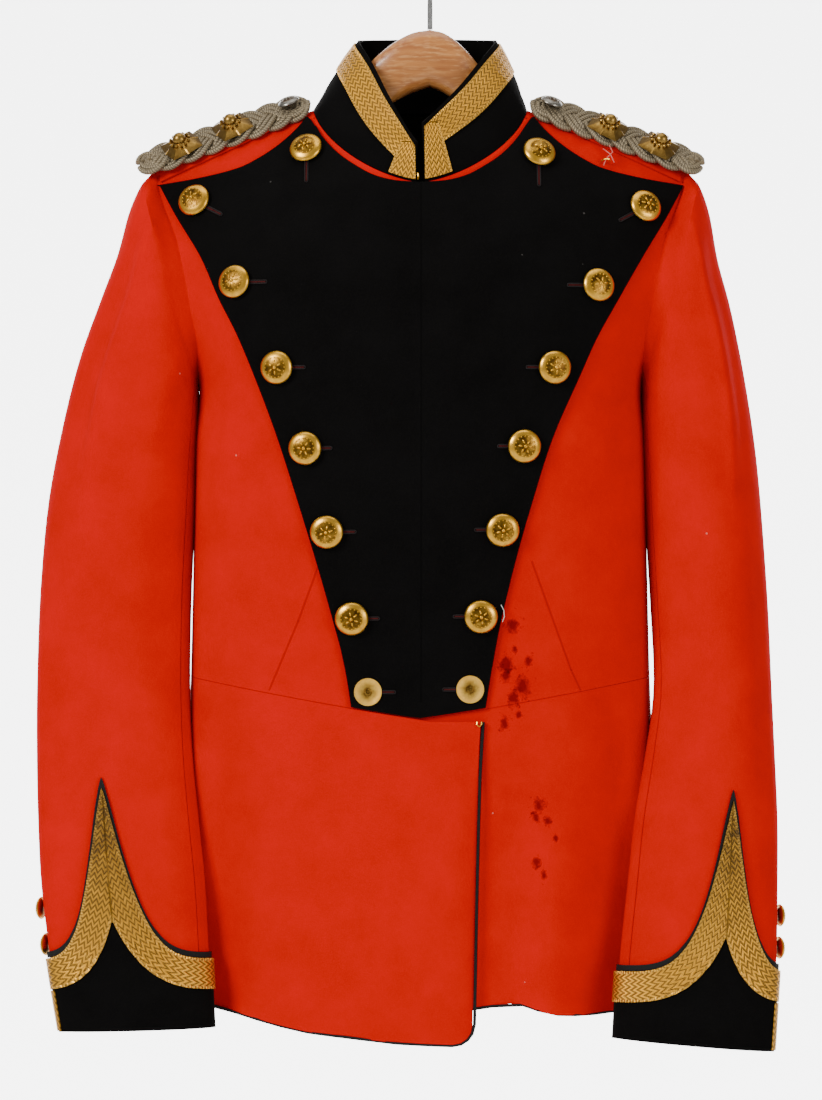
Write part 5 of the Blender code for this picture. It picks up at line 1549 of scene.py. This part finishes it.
def collar_places(fine_front, fine_back):
    """Places along the collar's foot, from the front edge to the centre back."""
    places = []
    for x in fine_front:
        turn = math.asin((x * MM / NECK_HALF) ** 1.05) / (0.5 * math.pi)
        places.append(("front", x * MM, COLLAR_SIDE_SHARE * turn))
    for x in fine_back:
        turn = math.asin((x * MM / NECK_HALF) ** 1.25) / (0.5 * math.pi)
        places.append(("back", x * MM, 1 - (1 - COLLAR_SIDE_SHARE) * turn))
    first = places[0][2]
    return [(face, x, max(share - first, 0.0) / (1 - first)) for face, x, share in places]


def collar_line(places, side):
    return [(side, place) for place in places]


def collar_layer(stations, rises, lift):
    points = np.array([[collar_spot(side, place, rise) for (side, place), rise in zip(stations, row)]
                       for row in rises])
    outward = (points - np.array([HANG_OFFSET, COLLAR_AXIS_Y, 0])) * np.array([1, 1, 0])
    normals = outward_normals(points, outward)
    return points + normals * lift, normals


def make_collar(looks):
    front = [3.5, 4.2, 6, 9, 12, 15, 18, 21, 24, 24.5, 27, 31, 35, 39, 43, 47, 51, 55, 59, 63, 67, 70, 73, 76, 79, 81]
    back = [82, 80, 77, 73, 68, 62, 55, 47, 38, 28, 17, 8, 0]
    places = collar_places(front, back)
    stations = collar_line(places, "right") + collar_line(places[-2::-1], "left")
    shares = edged(12, 0.012)
    rises = [[1 - t * (1 + (COLLAR_TUCK if place[0] == "back" else 0)) for _, place in stations] for t in shares]
    points, normals = collar_layer(stations, rises, 0)
    thing = hand_over(shell("cloth_collar", points, normals, COLLAR_CLOTH, looks["black"]), "collar")

    heights = [collar_height(side, place) for side, place in stations]
    mitre = {side: collar_top(side, 0)[2] for side in ("right", "left")}

    def rise_at(side, place, z):
        foot, top = collar_base(side, place)[2], collar_top(side, place[2])[2]
        return (z - foot) / (top - foot)

    tops, feet = [], []
    for (side, place), height in zip(stations, heights):
        high = 1 - COLLAR_RIM / height
        low = 1 - (COLLAR_RIM + COLLAR_LACE_WIDTH) / height
        if place[0] == "front" and place[1] < COLLAR_FRONT_X + COLLAR_LACE_WIDTH:
            low = max(low, rise_at(side, place, mitre[side]) + 0.01)
        tops.append(high)
        feet.append(min(low, high - 0.01))
    shares = np.linspace(0, 1, 9)
    rises = [[high + (low - high) * t for high, low in zip(tops, feet)] for t in shares]
    points, normals = collar_layer(stations, rises, LACE + 0.4 * MM)
    edge = points[0]
    along = np.concatenate([[0], np.cumsum(np.linalg.norm(np.diff(edge, axis=0), axis=1))])
    across = np.array([[(high - rise) * height / COLLAR_LACE_WIDTH for rise, high, height in zip(row, tops, heights)]
                       for row in rises])
    uv = np.stack([np.tile(along, (len(shares), 1)), across], axis=2)
    hand_over(shell("lace_collar", points, normals, LACE, looks["gold"], uv), "collar_lace")

    for side in ("right", "left"):
        near = [(side, place) for place in places if place[1] <= COLLAR_FRONT_X + COLLAR_LACE_WIDTH
                and place[0] == "front"]
        highs = []
        for here, place in near:
            height = collar_height(here, place)
            band = 1 - (COLLAR_RIM + COLLAR_LACE_WIDTH) / height
            highs.append(min(max(rise_at(here, place, mitre[side]), band), 1 - COLLAR_RIM / height) - 0.012)
        rises = [[high + (0.035 - high) * t for high in highs] for t in np.linspace(0, 1, 9)]
        points, normals = collar_layer(near, rises, LACE + 0.5 * MM)
        across = np.array([(place[1] - COLLAR_FRONT_X) / COLLAR_LACE_WIDTH for _, place in near])
        uv = np.stack([points[:, :, 2], np.tile(across, (9, 1))], axis=2)
        piece = shell(f"lace_collar_front_{side}", points, normals, LACE, looks["gold"], uv)
        hand_over(piece, None)


def make_straps(looks):
    for side in ("right", "left"):
        grid = []
        for t in edged(24, 0.006):
            x = STRAP_NECK_X + (STRAP_TIP_X - STRAP_NECK_X) * t
            front = STRAP_NECK_DROP + (STRAP_TIP_DROP - STRAP_NECK_DROP) * t
            drops = [("back", STRAP_BACK_DROP * s) for s in (1, 0.96, 0.6, 0.3, 0.1)]
            drops += [("front", front * s) for s in (0.0, 0.06, 0.15, 0.3, 0.5, 0.75, 0.97, 1)]
            grid.append([body_point(face, side, x, ridge_z(x) - drop) for face, drop in drops])
        points = np.array(grid)
        normals = outward_normals(points, points * 0 + np.array([0, 0, 1]))
        points = points + normals * (LAYER_GAP + FACING_CLOTH)
        name = f"shoulder_strap_{side}"
        thing = hand_over(shell("cloth_" + name, points, normals, FACING_CLOTH, looks["red"]), name)


def plait_routes(side):
    """Three strands of three wire cords each, plaited along the shoulder."""
    routes = []
    steps = np.linspace(0, 1, 150)
    for strand in range(3):
        centre, level = [], []
        for t in steps:
            turn = math.pi * PLAIT_TURNS * t + 2 * math.pi * strand / 3
            ends = math.sqrt(max(1 - (2 * t - 1) ** 12, 0.0))
            centre.append(PLAIT_REACH * math.sin(turn) * ends)
            level.append(PLAIT_HIGH + PLAIT_RISE * math.sin(2 * turn))
        centre, level = np.array(centre), np.array(level)
        length = CORD_TIP_X - CORD_NECK_X
        slant = np.gradient(centre, steps) / length
        for wire in (-1, 0, 1):
            route = []
            for t, across_at, high, lean in zip(steps, centre, level, slant):
                turn = math.hypot(1, lean)
                shift = wire * CORD_WIRE * 1.9
                x = CORD_NECK_X + 4 * MM + (length - 8 * MM) * t - shift * lean / turn
                spot, _, up, across = strap_frame(side, x)
                crown = 1.0 - 0.25 * abs(across_at) / PLAIT_REACH
                route.append(spot + across * (across_at + shift / turn) + up * high * crown)
            routes.append(route)
    return routes


def eye_routes(side, x, rings, lift):
    """Flat rings of cord round a button or a hole."""
    spot, along, up, across = strap_frame(side, x)
    routes = []
    for long, wide in rings:
        routes.append([spot + up * lift + along * long * math.cos(a) + across * wide * math.sin(a)
                       for a in np.linspace(0, 2 * math.pi, 40, endpoint=False)])
    return routes


def make_cords(looks):
    for side in ("right", "left"):
        routes = plait_routes(side)
        piece = tube_mesh(f"cord_plait_{side}", routes, [CORD_WIRE] * len(routes), looks["cord"])
        hand_over(piece, f"shoulder_cord_{side}")
        rings = [(r * MM, 0.92 * r * MM) for r in (5.0, 8.4, 11.8)]
        eyes = eye_routes(side, CORD_TIP_X - 13.5 * MM, rings, 4.2 * MM)
        eyes += eye_routes(side, CORD_NECK_X + 12.5 * MM, rings, 4.6 * MM)
        piece = tube_mesh(f"cord_eyes_{side}", eyes, [CORD_WIRE] * len(eyes), looks["cord"], closed=True)
        hand_over(piece, None)


def clear_selection():
    bpy.ops.object.select_all(action="DESELECT")


def shape_button(radius, height, plain=False):
    """A domed button modelled face up at the origin: shell, rolled rim and a generic rosette in a beaded ring."""
    clear_selection()
    bpy.ops.mesh.primitive_uv_sphere_add(segments=40, ring_count=24, radius=radius)
    dome = bpy.context.object
    bpy.ops.object.mode_set(mode="EDIT")
    bpy.ops.mesh.select_all(action="SELECT")
    bpy.ops.mesh.bisect(plane_co=(0, 0, 0.0), plane_no=(0, 0, 1), use_fill=True, clear_inner=True)
    bpy.ops.mesh.select_all(action="SELECT")
    bpy.ops.transform.resize(value=(1, 1, 0.62 * height / radius), center_override=(0, 0, 0))
    bpy.ops.transform.translate(value=(0, 0, 0.34 * height))
    bpy.ops.object.mode_set(mode="OBJECT")
    parts = [dome]
    bpy.ops.mesh.primitive_torus_add(major_radius=0.93 * radius, minor_radius=0.075 * radius, major_segments=40,
                                     minor_segments=8, location=(0, 0, 0.36 * height))
    parts.append(bpy.context.object)
    bpy.ops.mesh.primitive_cone_add(vertices=40, radius1=0.5 * radius, radius2=0.9 * radius, depth=0.34 * height,
                                    location=(0, 0, 0.17 * height))
    parts.append(bpy.context.object)
    if not plain:
        for count, reach, size in ((16, 0.60, 0.05), (6, 0.32, 0.085), (1, 0.0, 0.13)):
            for i in range(count):
                angle = 2 * math.pi * i / count
                out = reach * radius
                rise = height * (0.34 + 0.62 * math.sqrt(max(1 - reach ** 2, 0)))
                place = (out * math.cos(angle), out * math.sin(angle), rise)
                bpy.ops.mesh.primitive_uv_sphere_add(segments=8, ring_count=6, radius=size * radius, location=place)
                bead = bpy.context.object
                if count == 6:
                    bead.scale = (1.9, 0.75, 0.8)
                    bead.rotation_euler = (0, 0.35, angle)
                parts.append(bead)
    clear_selection()
    for part in parts:
        part.select_set(True)
    bpy.context.view_layer.objects.active = dome
    bpy.ops.object.join()
    bpy.ops.object.transform_apply(location=True, rotation=True, scale=True)
    marks = dome.data.attributes.new("patina", "FLOAT", "POINT")
    values = []
    for vertex in dome.data.vertices:
        away = math.hypot(vertex.co.x, vertex.co.y) / radius
        crown = height * (0.34 + 0.62 * math.sqrt(max(1 - away ** 2, 0)))
        low = vertex.co.z < crown + 0.012 * radius
        dark = 0.0 if plain else smooth_step((0.70 - away) / 0.1)
        values.append(dark if low else 0.15)
    marks.data.foreach_set("value", values)
    smooth_mesh(dome, 40)
    return dome


def place_copy(master, name, place, axis, material, node, spin=0.0):
    mesh = master.data.copy()
    turn = Vector(axis).to_track_quat("Z", "Y").to_matrix().to_4x4()
    mesh.transform(Matrix.Translation(Vector(place)) @ turn @ Matrix.Rotation(spin, 4, "Z"))
    mesh.materials.clear()
    mesh.materials.append(material)
    thing = bpy.data.objects.new(name, mesh)
    bpy.context.scene.collection.objects.link(thing)
    return hand_over(thing, node)


def shape_flat_button():
    """A flat disc with a raised rim and a post in its sunk middle, made by insets from a cylinder."""
    clear_selection()
    thick = FLAT_BUTTON_THICK
    bpy.ops.mesh.primitive_cylinder_add(vertices=40, radius=FLAT_BUTTON_RADIUS, depth=thick,
                                        location=(0, 0, 0.5 * thick))
    disc = bpy.context.object
    bpy.ops.object.mode_set(mode="EDIT")
    for inset, drop in ((0.9, 0), (1.4, -0.55), (5.2, -0.2), (0.5, 0.7), (1.0, 0.0), (0.5, -0.9)):
        form = bmesh.from_edit_mesh(disc.data)
        caps = [f for f in form.faces if f.normal.z > 0.9]
        cap = min(caps, key=lambda f: f.calc_area() if len(f.verts) > 8 else 1e9)
        for face in form.faces:
            face.select_set(False)
        cap.select_set(True)
        bmesh.update_edit_mesh(disc.data)
        bpy.ops.mesh.inset(thickness=inset * MM, depth=drop * MM)
    bpy.ops.object.mode_set(mode="OBJECT")
    marks = disc.data.attributes.new("patina", "FLOAT", "POINT")
    marks.data.foreach_set("value", [1.0 if math.hypot(v.co.x, v.co.y) < 3.6 * MM else 0.05
                                     for v in disc.data.vertices])
    smooth_mesh(disc, 35)
    return disc


def shape_badge():
    """A faceted eight-rayed star with a beaded boss, a plain stand-in for a rank badge."""
    clear_selection()
    parts = []
    for turn, size, tall in ((0, 1.0, 0.75), (45, 0.82, 0.68)):
        bpy.ops.mesh.primitive_cone_add(vertices=8, radius1=STAR_REACH * size, radius2=0.2 * STAR_REACH,
                                        depth=STAR_HEIGHT * tall, location=(0, 0, 0.5 * STAR_HEIGHT * tall))
        cone = bpy.context.object
        for vertex in cone.data.vertices:
            ring = round(math.degrees(math.atan2(vertex.co.y, vertex.co.x)) / 45)
            if ring % 2 and math.hypot(vertex.co.x, vertex.co.y) > 0.5 * STAR_REACH * size:
                vertex.co.x *= 0.78
                vertex.co.y *= 0.78
        cone.rotation_euler = (0, 0, math.radians(turn))
        parts.append(cone)
    bpy.ops.mesh.primitive_uv_sphere_add(segments=16, ring_count=10, radius=0.30 * STAR_REACH,
                                         location=(0, 0, 0.72 * STAR_HEIGHT))
    parts.append(bpy.context.object)
    for i in range(12):
        angle = 2 * math.pi * i / 12
        spot = (0.42 * STAR_REACH * math.cos(angle), 0.42 * STAR_REACH * math.sin(angle), 0.66 * STAR_HEIGHT)
        bpy.ops.mesh.primitive_uv_sphere_add(segments=8, ring_count=6, radius=0.075 * STAR_REACH, location=spot)
        parts.append(bpy.context.object)
    clear_selection()
    for part in parts:
        part.select_set(True)
    bpy.context.view_layer.objects.active = parts[0]
    bpy.ops.object.join()
    bpy.ops.object.transform_apply(location=True, rotation=True, scale=True)
    star = parts[0]
    marks = star.data.attributes.new("patina", "FLOAT", "POINT")
    marks.data.foreach_set("value", [0.75 if v.co.z < 0.45 * STAR_HEIGHT else 0.3 for v in star.data.vertices])
    smooth_mesh(star, 30)
    return star


def make_metal(looks):
    gilt = looks["gilt"]
    large = shape_button(BUTTON_RADIUS, BUTTON_HEIGHT)
    small = shape_button(CUFF_BUTTON_RADIUS, SMALL_BUTTON_HEIGHT)
    flat = shape_flat_button()
    star = shape_badge()
    lift = PLASTRON_GAP + FACING_CLOTH + 0.3 * MM
    for side, places in (("right", BUTTONS_RIGHT), ("left", BUTTONS_LEFT)):
        for count, (x, z) in enumerate(places, 1):
            place, axis = surface_place(side, x * MM, z * MM, lift)
            node = f"button_{side}_{count}"
            place_copy(large, "gilt_" + node, place, axis, gilt, node, 0.4 * count)
        x, z = FLAT_BUTTONS[side]
        place, axis = surface_place(side, x * MM, z * MM, lift + 0.4 * MM)
        place_copy(flat, f"gilt_button_flat_{side}", place, axis, looks["flat_gilt"], f"button_flat_{side}")
        sleeve = Sleeve(side)
        for count, z in enumerate(CUFF_BUTTONS_Z[side], 1):
            place = sleeve.at(CUFF_BUTTON_ANGLE, z * MM)
            along = sleeve.at(CUFF_BUTTON_ANGLE + 4, z * MM) - sleeve.at(CUFF_BUTTON_ANGLE - 4, z * MM)
            axis = np.array([along[1], -along[0], 0])
            axis /= np.linalg.norm(axis)
            if np.dot(axis, place - sleeve.middle) < 0:
                axis = -axis
            on_lace = z * MM < cuff_top(side, HIND_SEAM) + CUFF_BUTTON_RADIUS
            out = LAYER_GAP + FACING_CLOTH + LACE + 0.8 * MM if on_lace else LAYER_GAP
            node = f"cuff_button_{side}_{count}"
            place_copy(small, "gilt_" + node, place + axis * out, axis, gilt, node)
        for count, share in enumerate(BADGE_PLACES, 1):
            x = CORD_NECK_X + (CORD_TIP_X - CORD_NECK_X) * share
            spot, along, up, across = strap_frame(side, x)
            node = f"badge_{side}_{count}"
            place_copy(star, "star_" + node, spot + up * (CORD_THICK - 0.4 * MM), up, looks["bronze"], node)
        spot, along, up, across = strap_frame(side, SHOULDER_BUTTON_X)
        lean = up + 0.35 * across
        lean /= np.linalg.norm(lean)
        node = f"shoulder_button_{side}"
        place_copy(small, "silver_" + node, spot + up * (CORD_THICK + SHOULDER_BUTTON_GAP), lean, looks["old_silver"],
                   node)
    for master in (large, small, flat, star):
        bpy.data.objects.remove(master, do_unlink=True)


def hole_route(side, x, z, degrees, start, length):
    """A worked buttonhole's outline on the plastron: a long narrow loop running from below its button."""
    turn = math.radians(degrees)
    inward = np.array([-math.cos(turn), math.sin(turn)])
    square = np.array([-inward[1], inward[0]])
    outline, slit = [], []
    half = 0.5 * HOLE_WIDTH
    for along, across in ([(start + length * t, half) for t in np.linspace(0, 1, 9)]
                          + [(start + length + half * math.sin(a), half * math.cos(a)) for a in (0.8, 1.57, 2.3)]
                          + [(start + length * t, -half) for t in np.linspace(1, 0, 9)]):
        at = np.array([x, z]) * MM + inward * along + square * across
        outline.append(surface_place(side, at[0], at[1], HOLE_LIFT)[0])
    for t in np.linspace(0, 1, 8):
        at = np.array([x, z]) * MM + inward * (start + length * t)
        slit.append(surface_place(side, at[0], at[1], HOLE_LIFT - 0.1 * MM)[0])
    return outline, slit


def make_threads(looks):
    """Worked buttonholes with red wool showing in their slits, darkened as painted shade, and the loose threads."""
    outlines, slits = [], []
    for side, places in (("right", BUTTONS_RIGHT), ("left", BUTTONS_LEFT)):
        for (x, z), (degrees, length) in zip(places + [FLAT_BUTTONS[side]], BUTTONHOLES[side]):
            outline, slit = hole_route(side, x, z, degrees, 0.6 * BUTTON_RADIUS, length * MM)
            outlines.append(outline)
            slits.append(slit)
    piece = tube_mesh("thread_buttonholes", outlines, [0.55 * MM] * len(outlines), looks["thread"], sides=6)
    hand_over(piece, None)
    # The slits hold a dark red tube: the red wool under the plastron, with painted shade.
    piece = tube_mesh("slits_red_wool_painted_shade", slits, [0.5 * MM] * len(slits), looks["red_thread"], sides=6)
    hand_over(piece, None)
    routes = []
    for spots in LOOSE_PINK:
        routes.append([surface_place("left", x * MM, z * MM, lift * MM)[0] for x, z, lift in spots])
    piece = tube_mesh("thread_pink", routes, [0.4 * MM] * len(routes), looks["pink_thread"], sides=6)
    hand_over(piece, None)
    route = [surface_place("left", x * MM, z * MM, lift * MM)[0] for x, z, lift in LOOSE_WHITE]
    piece = tube_mesh("thread_white", [route], [0.35 * MM], looks["white_thread"], sides=6)
    hand_over(piece, None)


def make_hanger(looks):
    """The hanger's wood, finer than its solid, with the upright ridge between its two front faces."""
    xs = np.unique(np.concatenate([np.arange(0, 184, 4.0), [1, 2, 184]]))
    rings = []
    for side in ("right", "left"):
        for x in (xs[:0:-1] if side == "right" else xs):
            sign = -1 if side == "right" else 1
            top, bottom, half, middle_y = (smooth_table(HANGER, k, x) for k in (1, 2, 3, 4))
            centre_x = sign * x * MM + HANG_OFFSET * min(x / 60, 1.0)
            middle, high = 0.5 * (top + bottom), 0.5 * (top - bottom)
            ridge = 1.0 * max(1 - x / 40, 0)
            ring = []
            for angle in range(0, 360, 12):
                c, s = math.cos(math.radians(angle)), math.sin(math.radians(angle))
                y = middle_y + half * math.copysign(abs(c) ** 0.6, c)
                if c < 0:
                    y -= ridge * abs(c) - 1.0 * min(x / 40, 1) * 0.5
                z = middle + high * math.copysign(abs(s) ** 0.8, s)
                ring.append((centre_x, y * MM, z * MM))
            rings.append(ring)
    count = len(rings[0])
    faces = []
    for i in range(len(rings) - 1):
        for j in range(count):
            a, b = i * count + j, i * count + (j + 1) % count
            faces.append((a, b, b + count, a + count))
    faces.append(tuple(range(count))[::-1])
    faces.append(tuple(range((len(rings) - 1) * count, len(rings) * count)))
    mesh = bpy.data.meshes.new("wood_hanger")
    mesh.from_pydata([spot for ring in rings for spot in ring], [], faces)
    form = bmesh.new()
    form.from_mesh(mesh)
    bmesh.ops.recalc_face_normals(form, faces=form.faces)
    form.to_mesh(mesh)
    form.free()
    mesh.materials.append(looks["wood"])
    thing = bpy.data.objects.new("wood_hanger", mesh)
    bpy.context.scene.collection.objects.link(thing)
    smooth_mesh(thing, 60)
    hand_over(thing, "hanger_wood")


def dress_nodes(looks):
    """The small CAD pieces that keep their own shape get their finished materials."""
    dress = {"hanger_hook": "steel", "collar_hook": "gilt", "waist_hook": "gilt", "strap_loop": "gilt",
             "piping_back": "braid", "piping_front_left": "braid", "piping_front_right": "braid"}
    for node, look in dress.items():
        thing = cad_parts[node]
        for slot in thing.material_slots:
            slot.material = looks[look]


def make_studio(looks):
    """A pale floor, a lit pale wall behind, soft lights and the camera."""
    sheets = {
        "studio_floor": ([(-8, -8, FLOOR_Z), (8, -8, FLOOR_Z), (8, WALL_Y, FLOOR_Z), (-8, WALL_Y, FLOOR_Z)], "floor"),
        "studio_wall": ([(-6, WALL_Y, FLOOR_Z), (6, WALL_Y, FLOOR_Z), (6, WALL_Y, 4), (-6, WALL_Y, 4)], "wall"),
    }
    for name, (corners, look) in sheets.items():
        mesh = bpy.data.meshes.new(name)
        mesh.from_pydata(corners, [], [(0, 1, 2, 3)])
        mesh.materials.append(looks[look])
        sheet = bpy.data.objects.new(name, mesh)
        bpy.context.scene.collection.objects.link(sheet)

    middle = Vector((CAMERA_AIM[0], 0, CAMERA_AIM[1]))
    for name, place, size, power in LIGHTS:
        lamp = bpy.data.lights.new(name, "AREA")
        lamp.shape = "RECTANGLE"
        lamp.size, lamp.size_y = size
        lamp.energy = power
        holder = bpy.data.objects.new(name, lamp)
        holder.location = place
        holder.rotation_mode = "QUATERNION"
        holder.rotation_quaternion = (middle - Vector(place)).to_track_quat("-Z", "Y")
        bpy.context.scene.collection.objects.link(holder)
    world = bpy.data.worlds.new("studio_air")
    world.use_nodes = True
    world.node_tree.nodes["Background"].inputs[0].default_value = (1, 1, 1, 1)
    world.node_tree.nodes["Background"].inputs[1].default_value = WORLD_STRENGTH
    bpy.context.scene.world = world

    eye = bpy.data.cameras.new("photo_camera")
    eye.sensor_fit = "VERTICAL"
    eye.sensor_height = 24
    eye.lens = 12 / math.tan(math.radians(0.5 * VIEW_ANGLE))
    eye.clip_end = 50
    holder = bpy.data.objects.new("photo_camera", eye)
    holder.location = (CAMERA_AIM[0], -CAMERA_AWAY, CAMERA_AIM[1])
    holder.rotation_euler = (math.radians(90), 0, 0)
    bpy.context.scene.collection.objects.link(holder)
    bpy.context.scene.camera = holder


def main():
    looks = make_materials()
    make_bodices(looks)
    make_skirts(looks)
    make_plastron(looks)
    make_sleeves(looks)
    make_cuffs(looks)
    make_collar(looks)
    make_straps(looks)
    make_cords(looks)
    make_metal(looks)
    make_threads(looks)
    make_hanger(looks)
    dress_nodes(looks)
    make_studio(looks)


main()
